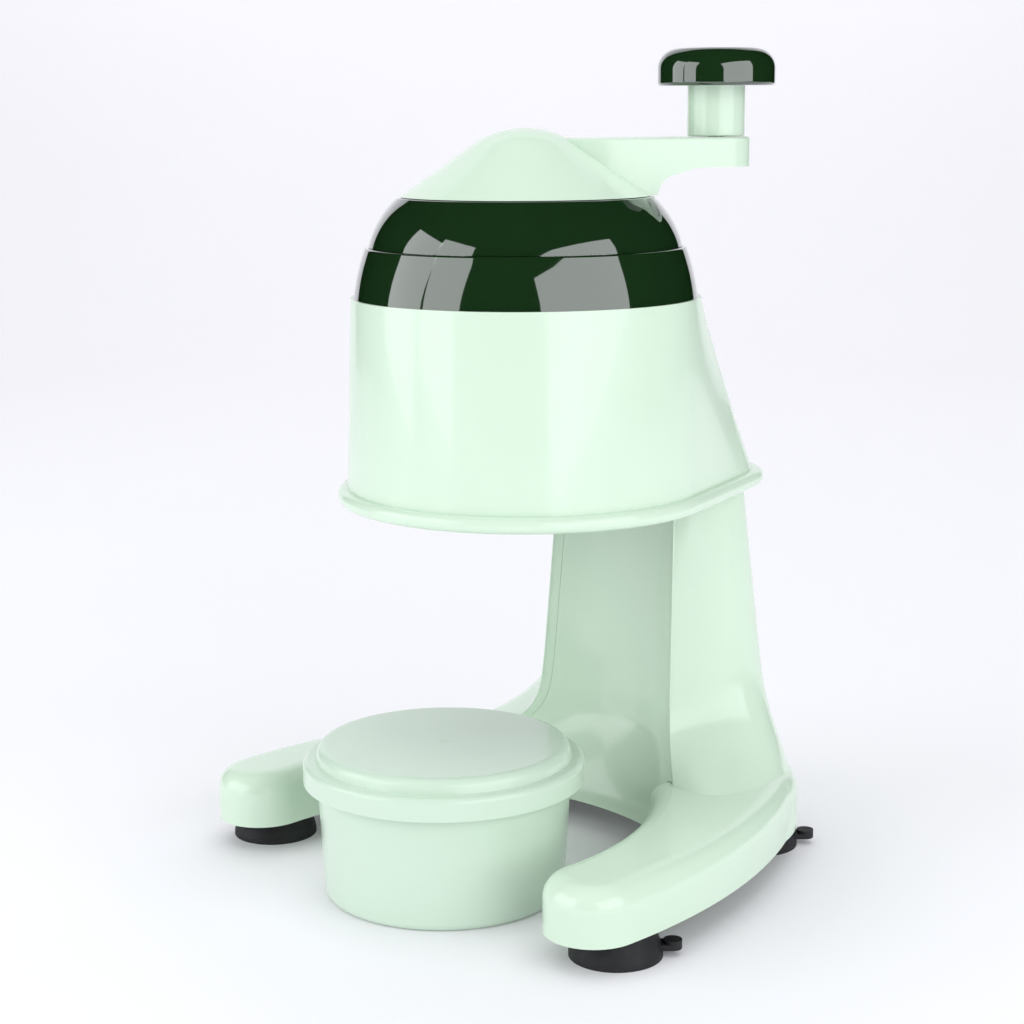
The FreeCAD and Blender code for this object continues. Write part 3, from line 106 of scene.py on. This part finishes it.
# The studio's light from all round doesn't show in reflections, and Cycles counts a roughness
# over 0.3 as matt. So each finish keeps all of its uneven roughness on one side of 0.3.
BOX_ROUGHNESS_SHARE = 1.1
BLADE_ROUGHNESS_SHARE = 0.8
ZINC_ROUGHNESS_SHARE = 2.0
COVER_ROUGHNESS = 0.45
BUSH_ROUGHNESS = 0.38
PLASTIC_IOR = 1.5
GLOSS_COAT_IOR = 1.9
RUBBER_IOR = 1.48
COAT_ROUGHNESS = 0.03
PAPER_SPECULAR = 0.15
BLACK = (0.0, 0.0, 0.0, 1.0)

# The paper's own glow is painted light on the floor and backdrop. It fades from a far distance
# towards the part. Heights count for half.
GLOW_NONE = -0.8
GLOW_FULL = 1.7
GLOW_HEIGHT_SHARE = 0.5

# The photo's view.
VIEW_TURN = math.radians(44.2205)
VIEW_PITCH = 0.1906
VIEW_ROLL = 0.0061
VIEW_PLACE = Vector((0.57940, -0.60630, 0.30668))
SENSOR_WIDTH = 36.0
CLIP_START = 0.02
CLIP_END = 20.0

# The sweep: a floor that narrows just before it bends up into the backdrop.
SWEEP_NEAR = 1.9
SWEEP_FAR = 1.6
SWEEP_BEND = 0.5
SWEEP_STEPS = 24
SWEEP_RISE = 3.0
FLOOR_HALF_WIDTH = 1.9
BACKDROP_HALF_WIDTH = 1.3

# The curtain round the other sides, with an opening on each side of the backdrop's middle.
CURTAIN_REACH = 1.85
CURTAIN_BEND = 0.35
CURTAIN_STEPS = 16
CURTAIN_RISE = 3.2
CURTAIN_BAYS = 96
CURTAIN_OPENING = math.radians(30.0)
CURTAIN_OVER_FLOOR = 0.001

# The lights face one point. A softbox has its name, bearing, width and roll in degrees.
LIT_POINT = Vector((0.0, 0.0, 0.22))
LIGHT_COLOUR = (0.97, 0.995, 1.0)
FILL_COLOUR = (0.95, 0.97, 1.0, 1.0)
SOFTBOX_HEIGHT = 0.98
SOFTBOX_RISE = 14.0
SOFTBOX_DISTANCE = 1.35
SOFTBOXES = (
    ("softbox_right", 39.5, 1.53, 8.0),
    ("softbox_left", -56.0, 0.62, -8.0),
    ("softbox_far_left", -85.5, 0.68, -8.0),
)
OVERHEAD_BEARING = 180.0
OVERHEAD_RISE = 84.0
OVERHEAD_DISTANCE = 1.5
OVERHEAD_WIDTH = 2.2


class Wire:
    """The output of a shader node. Sums and products of wires add Math nodes."""

    def __init__(self, board, socket):
        self.board = board
        self.socket = socket

    def _math(self, operation, first, second):
        return self.board.node("ShaderNodeMath", {"operation": operation}, {0: first, 1: second})

    def __add__(self, other):
        return self._math("ADD", self, other)

    def __radd__(self, other):
        return self._math("ADD", other, self)

    def __mul__(self, other):
        return self._math("MULTIPLY", self, other)

    def __rmul__(self, other):
        return self._math("MULTIPLY", other, self)


class Board:
    """The node tree of a material, which starts empty."""

    def __init__(self, name):
        self.material = bpy.data.materials.new(name)
        self.material.use_nodes = True
        self.tree = self.material.node_tree
        self.tree.nodes.clear()

    def node(self, kind, settings=None, sockets=None, output=0):
        """Adds a node with its settings, then its socket values and links, and gives an output.

        The settings of a colour ramp are its two stops, as (place, grey).
        """
        added = self.tree.nodes.new(kind)
        for name, value in (settings or {}).items():
            if name == "stops":
                for element, (place, grey) in zip(added.color_ramp.elements, value):
                    element.position = place
                    element.color = (grey, grey, grey, 1.0)
            else:
                setattr(added, name, value)
        for key, value in (sockets or {}).items():
            if isinstance(value, Wire):
                self.tree.links.new(value.socket, added.inputs[key])
            else:
                added.inputs[key].default_value = value
        return Wire(self, added.outputs[output]) if added.outputs else None

    def mix(self, factor, first, second):
        """Mixes two colours."""
        settings = {"data_type": "RGBA", "clamp_factor": True}
        return self.node("ShaderNodeMix", settings, {0: factor, 6: first, 7: second}, output=2)

    def noise(self, scale, stretch=(1.0, 1.0, 1.0), detail=3.0, roughness=0.5):
        """Adds solid noise over the part, with scale in grains to the metre."""
        place = self.node("ShaderNodeTexCoord", output="Object")
        place = self.node("ShaderNodeMapping", None, {"Vector": place, "Scale": stretch})
        sockets = {"Vector": place, "Scale": scale, "Detail": detail, "Roughness": roughness}
        return self.node("ShaderNodeTexNoise", None, sockets)

    def bump(self, height, strength, distance):
        """Turns a height of 0 to 1 into the slope of a surface that is as deep as distance."""
        sockets = {"Strength": strength, "Distance": distance, "Height": height}
        return self.node("ShaderNodeBump", None, sockets)

    def principled(self, sockets):
        """Adds the surface shader and the output that takes it, and gives the material."""
        surface = self.node("ShaderNodeBsdfPrincipled", None, sockets)
        self.node("ShaderNodeOutputMaterial", None, {"Surface": surface})
        return self.material


def tinted(colour, share):
    """A colour scaled towards black or past itself, with alpha."""
    return (*(min(1.0, part * share) for part in colour), 1.0)


def uneven(value, spread, pattern):
    """A value that a pattern of 0 to 1 varies about itself, by a share of itself in all."""
    return value * (1.0 - spread / 2) + pattern * (value * spread)


def plastic(name, colour, roughness, peel, coat=0.0, coat_ior=PLASTIC_IOR, clouding=0.03):
    """Moulded plastic: faint clouding in its colour, uneven gloss and the ripple of the mould."""
    board = Board(name)
    clouds = board.noise(scale=16.0, detail=4.0)
    flow = board.noise(scale=60.0, stretch=(1.0, 1.0, 0.25))
    blend = clouds * 0.7 + flow * 0.3
    base = board.mix(blend, tinted(colour, 1.0 - clouding), tinted(colour, 1.0 + clouding))
    wear = board.noise(scale=240.0, detail=5.0, roughness=0.6)
    ripple = board.noise(scale=85.0, detail=2.0)
    grain = board.noise(scale=1400.0, detail=2.0)
    height = ripple * 0.96 + grain * 0.04
    return board.principled({
        "Base Color": base,
        "Roughness": uneven(roughness, 0.4, wear),
        "Normal": board.bump(height, strength=0.25, distance=peel),
        "IOR": PLASTIC_IOR,
        "Coat Weight": coat,
        "Coat IOR": coat_ior,
        "Coat Roughness": COAT_ROUGHNESS,
    })


def metal(name, colour, roughness, stretch, grain, scratch):
    """Bare metal: drawn or turned lines in its gloss and colour, and as fine scratches."""
    board = Board(name)
    lines = board.noise(scale=grain, stretch=stretch, detail=5.0, roughness=0.65)
    stains = board.noise(scale=90.0, detail=3.0)
    blend = stains * 0.5 + lines * 0.5
    return board.principled({
        "Base Color": board.mix(blend, tinted(colour, 0.82), tinted(colour, 1.08)),
        "Roughness": uneven(roughness, 0.6, lines),
        "Normal": board.bump(lines, strength=0.35, distance=scratch),
        "Metallic": 1.0,
    })


def rubber(name, colour, roughness):
    """Soft rubber: a matt skin with fine grain, and a little dust that lightens it."""
    board = Board(name)
    specks = board.noise(scale=70.0, detail=6.0, roughness=0.65)
    dust = board.node("ShaderNodeValToRGB", {"stops": ((0.45, 0.0), (0.8, 1.0))}, {"Fac": specks})
    grain = board.noise(scale=1900.0, detail=3.0)
    wear = board.noise(scale=300.0)
    return board.principled({
        "Base Color": board.mix(dust, tinted(colour, 1.0), tinted(colour, 1.9)),
        "Roughness": uneven(roughness, 0.3, wear),
        "Normal": board.bump(grain, strength=0.4, distance=0.00004),
        "IOR": RUBBER_IOR,
    })


def paper(name, colour, glow):
    """A pale matt sheet with the faintest mottling and tooth, and painted light: it glows by
    itself, more away from the part.
    """
    board = Board(name)
    mottling = board.noise(scale=5.0, detail=4.0)
    base = board.mix(mottling, tinted(colour, 0.992), tinted(colour, 1.008))
    tooth = board.noise(scale=900.0, detail=2.0)
    wear = board.noise(scale=12.0)
    place = board.node("ShaderNodeTexCoord", output="Object")
    squat = {0: place, 1: (1.0, 1.0, GLOW_HEIGHT_SHARE)}
    place = board.node("ShaderNodeVectorMath", {"operation": "MULTIPLY"}, squat)
    distance = board.node("ShaderNodeVectorMath", {"operation": "LENGTH"}, {0: place}, output=1)
    # Painted light: how much of the paper's glow shows, weak near the part and full far from it.
    painted_light_share = board.node("ShaderNodeMapRange", {"interpolation_type": "SMOOTHSTEP"}, {
        "Value": distance, "From Min": GLOW_NONE, "From Max": GLOW_FULL,
        "To Min": 0.0, "To Max": 1.0,
    })
    return board.principled({
        "Base Color": base,
        "Roughness": 0.55 + wear * 0.1,
        "Normal": board.bump(tooth, strength=0.1, distance=0.0001),
        "Specular IOR Level": PAPER_SPECULAR,
        "Emission Color": board.mix(painted_light_share, BLACK, base),
        "Emission Strength": glow,
    })


def dress(names, material):
    """Puts one finish on the named CAD nodes."""
    for name in names:
        for slot in NODES[name].material_slots:
            slot.material = material


def mesh_object(name, maker, *values):
    """Makes a mesh object from a function that fills a bmesh from some values."""
    mesh = bpy.data.meshes.new(name)
    work = bmesh.new()
    maker(work, *values)
    work.to_mesh(mesh)
    work.free()
    made = bpy.data.objects.new(name, mesh)
    bpy.context.scene.collection.objects.link(made)
    return made


def ridge_points(mesh, side, heights):
    """Where the column's sharp front edge runs on one side at some heights, and how it faces."""
    outward = Vector((side * RIDGE_OUTWARDS, -RIDGE_FORWARDS, 0.0))
    places = [vertex.co for vertex in mesh.vertices]
    edges = [[places[index] for index in edge.vertices] for edge in mesh.edges]
    edges = [
        (a, b) if a.z < b.z else (b, a)
        for a, b in edges if side * a.x > RIDGE_FROM_MIDDLE and side * b.x > RIDGE_FROM_MIDDLE
    ]
    points = []
    for height in heights:
        section = [
            low.lerp(high, (height - low.z) / (high.z - low.z))
            for low, high in edges if low.z < height < high.z
        ]
        points.append(max(section, key=outward.dot))
    return points, outward


def tube(work, rings, smooth):
    """Joins closed rings of vertices with faces."""
    for first, second in zip(rings, rings[1:]):
        for side in range(len(first)):
            after = (side + 1) % len(first)
            face = work.faces.new((first[side], first[after], second[after], second[side]))
            face.smooth = smooth


def strip(work, rows):
    """A smooth sheet through rows of points, with as many points in each."""
    rows = [[work.verts.new(point) for point in row] for row in rows]
    for first, second in zip(rows, rows[1:]):
        for low in range(len(first) - 1):
            face = work.faces.new((first[low], first[low + 1], second[low + 1], second[low]))
            face.smooth = True


def seam(work, points, outward, width, proud):
    """A fine raised line along some points, lying on the surface behind it."""
    across = Vector((0.0, 0.0, 1.0)).cross(outward).normalized() * (width / 2)
    profile = (-across - outward * proud, outward * proud, across - outward * proud)
    rows = [[work.verts.new(spot + shift) for shift in profile] for spot in points]
    tube(work, rows, smooth=False)
    work.faces.new(rows[0])
    work.faces.new(rows[-1][::-1])


def coil(work, low, high, thickness, turns):
    """A round-wire spring that fills a box, with a flat turn at each end."""
    centre = (low + high) / 2
    wire = thickness / 2
    radius = (high.x - low.x) / 2 - wire
    live_turns = turns - 2 * FLAT_TURNS
    rise = (high.z - low.z - 2 * wire) / live_turns
    rings = []
    for step in range(turns * WIRE_STEPS_PER_TURN + 1):
        turn = step / WIRE_STEPS_PER_TURN
        height = low.z + wire + rise * min(max(turn - FLAT_TURNS, 0.0), live_turns)
        angle = 2 * math.pi * turn
        out = Vector((math.cos(angle), math.sin(angle), 0.0))
        spot = Vector((centre.x, centre.y, height)) + out * radius
        rings.append([
            work.verts.new(spot + (out * math.cos(a) + Vector((0.0, 0.0, math.sin(a)))) * wire)
            for a in (2 * math.pi * side / WIRE_SIDES for side in range(WIRE_SIDES))
        ])
    tube(work, rings, smooth=True)
    work.faces.new(rings[0][::-1])
    work.faces.new(rings[-1])


def lathe(work, profile, centre, segments):
    """A shape turned round a standing axis, from (radius, height) points that start at the axis."""
    hub = work.verts.new(centre + Vector((0.0, 0.0, profile[0][1])))
    rings = []
    for radius, height in profile[1:]:
        angles = (2 * math.pi * step / segments for step in range(segments))
        rings.append([
            work.verts.new(centre + Vector((radius * math.cos(a), radius * math.sin(a), height)))
            for a in angles
        ])
    for step in range(segments):
        after = (step + 1) % segments
        work.faces.new((hub, rings[0][step], rings[0][after])).smooth = True
        for inner, outer in zip(rings, rings[1:]):
            face = work.faces.new((inner[step], outer[step], outer[after], inner[after]))
            face.smooth = True


def colour_prop(name, description, default):
    return bpy.props.FloatVectorProperty(
        name=name, description=description, subtype="COLOR", size=3, min=0.0, max=1.0,
        default=default,
    )


def share_prop(name, description, default):
    return bpy.props.FloatProperty(
        name=name, description=description, subtype="FACTOR", min=0.0, max=1.0, default=default
    )


def length_prop(name, description, default):
    return bpy.props.FloatProperty(
        name=name, description=description, subtype="DISTANCE", unit="LENGTH", min=0.0,
        precision=5, default=default,
    )


class IceShaverFinish(bpy.types.PropertyGroup):
    """Colours and gloss of the part's materials"""

    shell: colour_prop(
        "Shell", "Pale plastic of the stand, drum, crank and grip stem", (0.690, 0.848, 0.690)
    )
    ice_box: colour_prop(
        "Ice box", "Pale plastic of the ice box and its lid", (0.655, 0.800, 0.665)
    )
    gloss: colour_prop(
        "Lid", "Dark plastic of the lid, ice hopper, knob and gripper", (0.009, 0.030, 0.009)
    )
    cover: colour_prop(
        "Cover", "Plain plastic under the base and of the drive hub", (0.060, 0.110, 0.065)
    )
    bush: colour_prop("Bush", "Nylon of the bush in the lid", (0.780, 0.770, 0.720))
    rubber: colour_prop("Rubber", "Rubber of the suction cups", (0.011, 0.011, 0.013))
    steel: colour_prop(
        "Steel", "Stainless steel of the shaft, pins, clip, spring and blade",
        (0.560, 0.565, 0.570),
    )
    zinc: colour_prop(
        "Zinc", "Zinc plate on the screws and the grip nut", (0.600, 0.610, 0.630)
    )
    shell_roughness: share_prop("Shell roughness", "How matt the pale plastic is", 0.22)
    gloss_roughness: share_prop("Lid roughness", "How matt the dark plastic is", 0.06)
    rubber_roughness: share_prop("Rubber roughness", "How matt the rubber is", 0.62)
    steel_roughness: share_prop("Steel roughness", "How matt the steel is", 0.22)


class IceShaverSizes(bpy.types.PropertyGroup):
    """Sizes of the fine pieces that the CAD model doesn't have"""

    seam_width: length_prop("Mould line width", "Width of the mould lines", 0.0009)
    seam_height: length_prop("Mould line height", "How proud the mould lines stand", 0.00022)
    spring_wire: length_prop("Spring wire", "Thickness of the feed spring's wire", 0.0016)
    spring_turns: bpy.props.IntProperty(
        name="Spring turns", description="Turns of the feed spring", min=3, default=9
    )


class IceShaverStudio(bpy.types.PropertyGroup):
    """Floor, light and camera"""

    paper: colour_prop("Paper", "Colour of the floor and the backdrop", (0.872, 0.862, 0.890))
    softbox: bpy.props.FloatProperty(
        name="Softboxes", description="Power of the softboxes, in watts to the square metre",
        min=0.0, default=6.5,
    )
    overhead: bpy.props.FloatProperty(
        name="Overhead", description="Power of the overhead light", unit="POWER", min=0.0,
        default=15.5,
    )
    # The backdrop glow is painted light: the floor and backdrop glow by themselves, less near the
    # part.
    glow: share_prop("Backdrop glow", "Light that comes through the backdrop from behind", 0.27)
    fill: bpy.props.FloatProperty(
        name="Fill", description="Strength of the light from all round", min=0.0, default=0.42
    )
    surround_glow: share_prop("Surround glow", "Light of the curtain on the other sides", 0.50)
    lens: bpy.props.FloatProperty(
        name="Lens", description="Focal length of the camera, in millimetres", unit="CAMERA",
        min=1.0, default=73.83,
    )


class ICESHAVER_OT_shells(bpy.types.Operator):
    """Give the stand, drum, crank and grip stem their pale plastic"""

    bl_idname = "ice_shaver.shells"
    bl_label = "Pale Shells"
    bl_options = {"REGISTER", "UNDO"}

    def execute(self, context):
        look = context.scene.ice_shaver_finish
        shell = plastic("pale_plastic", look.shell, look.shell_roughness, peel=0.00012, coat=0.35)
        dress(SHELL_NODES, shell)
        return {"FINISHED"}


class ICESHAVER_OT_ice_box(bpy.types.Operator):
    """Give the ice box and its lid their pale plastic"""

    bl_idname = "ice_shaver.ice_box"
    bl_label = "Ice Box"
    bl_options = {"REGISTER", "UNDO"}

    def execute(self, context):
        look = context.scene.ice_shaver_finish
        roughness = look.shell_roughness * BOX_ROUGHNESS_SHARE
        dress(BOX_NODES, plastic("box_plastic", look.ice_box, roughness, peel=0.0001, coat=0.2))
        return {"FINISHED"}


class ICESHAVER_OT_gloss(bpy.types.Operator):
    """Give the lid, ice hopper, knob and gripper their dark plastic"""

    bl_idname = "ice_shaver.gloss"
    bl_label = "Dark Pieces"
    bl_options = {"REGISTER", "UNDO"}

    def execute(self, context):
        look = context.scene.ice_shaver_finish
        dark = plastic(
            "dark_plastic", look.gloss, look.gloss_roughness, peel=0.00004,
            coat=1.0, coat_ior=GLOSS_COAT_IOR, clouding=0.15,
        )
        dress(GLOSS_NODES, dark)
        return {"FINISHED"}


class ICESHAVER_OT_covers(bpy.types.Operator):
    """Give the base cover, drive hub and lid bush their plain plastics"""

    bl_idname = "ice_shaver.covers"
    bl_label = "Cover, Hub and Bush"
    bl_options = {"REGISTER", "UNDO"}

    def execute(self, context):
        look = context.scene.ice_shaver_finish
        cover = plastic("cover_plastic", look.cover, COVER_ROUGHNESS, peel=0.0002, clouding=0.08)
        nylon = plastic("nylon", look.bush, BUSH_ROUGHNESS, peel=0.00015, clouding=0.05)
        dress(COVER_NODES, cover)
        dress(BUSH_NODES, nylon)
        return {"FINISHED"}


class ICESHAVER_OT_metal(bpy.types.Operator):
    """Give the blade, shaft, pins, spring and screws their metals"""

    bl_idname = "ice_shaver.metal"
    bl_label = "Metal Pieces"
    bl_options = {"REGISTER", "UNDO"}

    def execute(self, context):
        look = context.scene.ice_shaver_finish
        steel = metal(
            "steel", look.steel, look.steel_roughness,
            stretch=(1.0, 1.0, 8.0), grain=220.0, scratch=0.00003,
        )
        blade = metal(
            "blade_steel", look.steel, look.steel_roughness * BLADE_ROUGHNESS_SHARE,
            stretch=(0.1, 1.0, 1.0), grain=900.0, scratch=0.00002,
        )
        zinc = metal(
            "zinc", look.zinc, look.steel_roughness * ZINC_ROUGHNESS_SHARE,
            stretch=(1.0, 1.0, 1.0), grain=500.0, scratch=0.00003,
        )
        dress(STEEL_NODES, steel)
        dress(BLADE_NODES, blade)
        dress(ZINC_NODES, zinc)
        return {"FINISHED"}


class ICESHAVER_OT_cups(bpy.types.Operator):
    """Give the four suction cups their rubber"""

    bl_idname = "ice_shaver.cups"
    bl_label = "Suction Cups"
    bl_options = {"REGISTER", "UNDO"}

    def execute(self, context):
        look = context.scene.ice_shaver_finish
        dress(CUP_NODES, rubber("rubber", look.rubber, look.rubber_roughness))
        return {"FINISHED"}


class ICESHAVER_OT_seams(bpy.types.Operator):
    """Add the mould lines up the column's front edges"""

    bl_idname = "ice_shaver.seams"
    bl_label = "Mould Lines"
    bl_options = {"REGISTER", "UNDO"}

    def execute(self, context):
        sizes = context.scene.ice_shaver_sizes
        stand = NODES["stand_body"]
        for name, side in (("column_seam_left", -1), ("column_seam_right", 1)):
            points, outward = ridge_points(stand.data, side, SEAM_HEIGHTS)
            made = mesh_object(name, seam, points, outward, sizes.seam_width, sizes.seam_height)
            made.data.materials.append(stand.material_slots[0].material)
            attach(made, "stand")
        return {"FINISHED"}


class ICESHAVER_OT_spring(bpy.types.Operator):
    """Wind the feed spring in place of the CAD one. The real spring shortens as the gripper is
    pushed up; this coil keeps one length.
    """

    bl_idname = "ice_shaver.spring"
    bl_label = "Feed Spring"
    bl_options = {"REGISTER", "UNDO"}

    def execute(self, context):
        sizes = context.scene.ice_shaver_sizes
        low, high = (Vector(corner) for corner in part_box("feed_spring"))
        feed = next(joint for joint in frame["joints"] if joint["name"] == "feed")
        top = feed["deforming_nodes"][0]["fixed_end_z_m"]
        made = mesh_object(
            "wound_feed_spring", coil, low, high, sizes.spring_wire, sizes.spring_turns
        )
        made.data.materials.append(NODES["feed_spring"].material_slots[0].material)
        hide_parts("feed_spring")
        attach(made, "crank")
        free = top - low.z
        (free - feed["range_m"][1]) / free
        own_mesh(made)
        return {"FINISHED"}


class ICESHAVER_OT_gate_mark(bpy.types.Operator):
    """Add the mark that the moulding left in the middle of the ice box lid"""

    bl_idname = "ice_shaver.gate_mark"
    bl_label = "Gate Mark"
    bl_options = {"REGISTER", "UNDO"}

    def execute(self, context):
        low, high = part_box("ice_box_lid")
        centre = Vector(((low[0] + high[0]) / 2, (low[1] + high[1]) / 2, high[2]))
        made = mesh_object("box_lid_gate_mark", lathe, GATE_PROFILE, centre, GATE_SEGMENTS)
        made.data.materials.append(NODES["ice_box_lid"].material_slots[0].material)
        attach(made, "ice_box_lid")
        return {"FINISHED"}


class ICESHAVER_OT_studio(bpy.types.Operator):
    """Build the floor and backdrop, the lights and the camera"""

    bl_idname = "ice_shaver.studio"
    bl_label = "Studio"
    bl_options = {"REGISTER", "UNDO"}

    def execute(self, context):
        look = context.scene.ice_shaver_studio
        self.sweep(look)
        self.surround(look)
        self.lights(context, look)
        self.camera(context, look)
        settings = context.scene.view_settings
        settings.view_transform = "Standard"
        settings.look = "None"
        settings.exposure = 0.0
        settings.gamma = 1.0
        return {"FINISHED"}

    def sweep(self, look):
        """A floor that curves up into a backdrop behind the part, as the camera sees it."""
        section = [
            (-SWEEP_NEAR, 0.0, FLOOR_HALF_WIDTH), (SWEEP_FAR - SWEEP_BEND, 0.0, FLOOR_HALF_WIDTH),
        ]
        for step in range(SWEEP_STEPS + 1):
            angle = math.pi / 2 * step / SWEEP_STEPS
            away = SWEEP_FAR + SWEEP_BEND * math.sin(angle)
            section.append((away, SWEEP_BEND * (1 - math.cos(angle)), BACKDROP_HALF_WIDTH))
        section.append((SWEEP_FAR + SWEEP_BEND, SWEEP_RISE, BACKDROP_HALF_WIDTH))
        behind = Vector((-math.sin(VIEW_TURN), math.cos(VIEW_TURN), 0.0))
        across = Vector((math.cos(VIEW_TURN), math.sin(VIEW_TURN), 0.0))
        rows = [
            [behind * away + across * side + Vector((0, 0, height)) for side in (-half, half)]
            for away, height, half in section
        ]
        made = mesh_object("studio_sweep", strip, rows)
        # The sweep's paper glows with painted light, less near the part.
        made.data.materials.append(paper("studio_paper", look.paper, look.glow))

    def surround(self, look):
        """The rest of the room: a curtain round the other sides, which only the camera sees."""
        section = []
        for step in range(CURTAIN_STEPS + 1):
            angle = math.pi / 2 * step / CURTAIN_STEPS
            reach = CURTAIN_REACH - CURTAIN_BEND + CURTAIN_BEND * math.sin(angle)
            section.append((reach, CURTAIN_BEND * (1 - math.cos(angle)) + CURTAIN_OVER_FLOOR))
        section.append((CURTAIN_REACH, CURTAIN_RISE))
        start = VIEW_TURN + math.pi / 2 + CURTAIN_OPENING
        bay_turn = (2 * math.pi - 2 * CURTAIN_OPENING) / CURTAIN_BAYS
        turns = (start + bay_turn * bay for bay in range(CURTAIN_BAYS + 1))
        rows = [
            [(reach * math.cos(turn), reach * math.sin(turn), height) for reach, height in section]
            for turn in turns
        ]
        made = mesh_object("studio_surround", strip, rows)
        made.data.materials.append(paper("studio_surround_paper", look.paper, look.surround_glow))
        made.visible_diffuse = made.visible_glossy = made.visible_shadow = False

    def area_light(self, name, bearing, rise, distance, size, roll, power):
        """A rectangular light at a bearing, raised by an angle, that faces the lit point."""
        turn = VIEW_TURN + math.radians(bearing)
        lift = math.radians(rise)
        level = math.cos(lift)
        away = Vector((math.sin(turn) * level, -math.cos(turn) * level, math.sin(lift)))
        light = bpy.data.lights.new(name, "AREA")
        light.shape = "RECTANGLE"
        light.size, light.size_y = size
        light.energy = power
        light.color = LIGHT_COLOUR
        lamp = bpy.data.objects.new(name, light)
        bpy.context.scene.collection.objects.link(lamp)
        place = Matrix.Translation(LIT_POINT + away * distance)
        facing = (-away).to_track_quat("-Z", "Y").to_matrix().to_4x4()
        lamp.matrix_world = place @ facing @ Matrix.Rotation(math.radians(roll), 4, "Z")
        lamp.visible_camera = False
        return lamp

    def lights(self, context, look):
        """The softboxes, the overhead light and the light from all round."""
        for name, bearing, width, roll in SOFTBOXES:
            size = (width, SOFTBOX_HEIGHT)
            power = look.softbox * width * SOFTBOX_HEIGHT
            self.area_light(name, bearing, SOFTBOX_RISE, SOFTBOX_DISTANCE, size, roll, power)
        overhead = self.area_light(
            "overhead", OVERHEAD_BEARING, OVERHEAD_RISE, OVERHEAD_DISTANCE,
            (OVERHEAD_WIDTH, OVERHEAD_WIDTH), 0.0, look.overhead,
        )
        overhead.visible_glossy = False
        world = context.scene.world = bpy.data.worlds.new("studio_fill")
        world.use_nodes = True
        background = world.node_tree.nodes["Background"]
        background.inputs["Color"].default_value = FILL_COLOUR
        background.inputs["Strength"].default_value = look.fill
        world.cycles_visibility.glossy = False

    def camera(self, context, look):
        """The camera, at the photo's viewing angle."""
        data = bpy.data.cameras.new("photo_camera")
        data.sensor_width = SENSOR_WIDTH
        data.lens = look.lens
        data.clip_start, data.clip_end = CLIP_START, CLIP_END
        made = bpy.data.objects.new("photo_camera", data)
        context.scene.collection.objects.link(made)
        turn = Euler((math.pi / 2 - VIEW_PITCH, 0.0, VIEW_TURN), "XYZ").to_matrix().to_4x4()
        roll = Matrix.Rotation(-VIEW_ROLL, 4, "Z")
        made.matrix_world = Matrix.Translation(VIEW_PLACE) @ turn @ roll
        context.scene.camera = made


class ICESHAVER_PT_panel(bpy.types.Panel):
    """The ice shaver's settings and builders"""

    bl_label = "Ice Shaver"
    bl_idname = "ICESHAVER_PT_panel"
    bl_space_type = "VIEW_3D"
    bl_region_type = "UI"
    bl_category = "Ice Shaver"

    def draw(self, context):
        for group_name in GROUPS:
            group = getattr(context.scene, group_name)
            box = self.layout.box()
            for name in group.__annotations__:
                box.prop(group, name)
        for operator in OPERATORS:
            self.layout.operator(operator.bl_idname)


GROUPS = {
    "ice_shaver_finish": IceShaverFinish,
    "ice_shaver_sizes": IceShaverSizes,
    "ice_shaver_studio": IceShaverStudio,
}
OPERATORS = (
    ICESHAVER_OT_shells,
    ICESHAVER_OT_ice_box,
    ICESHAVER_OT_gloss,
    ICESHAVER_OT_covers,
    ICESHAVER_OT_metal,
    ICESHAVER_OT_cups,
    ICESHAVER_OT_seams,
    ICESHAVER_OT_spring,
    ICESHAVER_OT_gate_mark,
    ICESHAVER_OT_studio,
)
CLASSES = (*GROUPS.values(), *OPERATORS, ICESHAVER_PT_panel)


def register():
    for entry in CLASSES:
        bpy.utils.register_class(entry)
    for name, group in GROUPS.items():
        setattr(bpy.types.Scene, name, bpy.props.PointerProperty(type=group))


def unregister():
    for name in GROUPS:
        delattr(bpy.types.Scene, name)
    for entry in reversed(CLASSES):
        bpy.utils.unregister_class(entry)


def main():
    register()
    bpy.ops.ice_shaver.shells()
    bpy.ops.ice_shaver.ice_box()
    bpy.ops.ice_shaver.gloss()
    bpy.ops.ice_shaver.covers()
    bpy.ops.ice_shaver.metal()
    bpy.ops.ice_shaver.cups()
    bpy.ops.ice_shaver.seams()
    bpy.ops.ice_shaver.spring()
    bpy.ops.ice_shaver.gate_mark()
    bpy.ops.ice_shaver.studio()


if __name__ == "__main__":
    main()
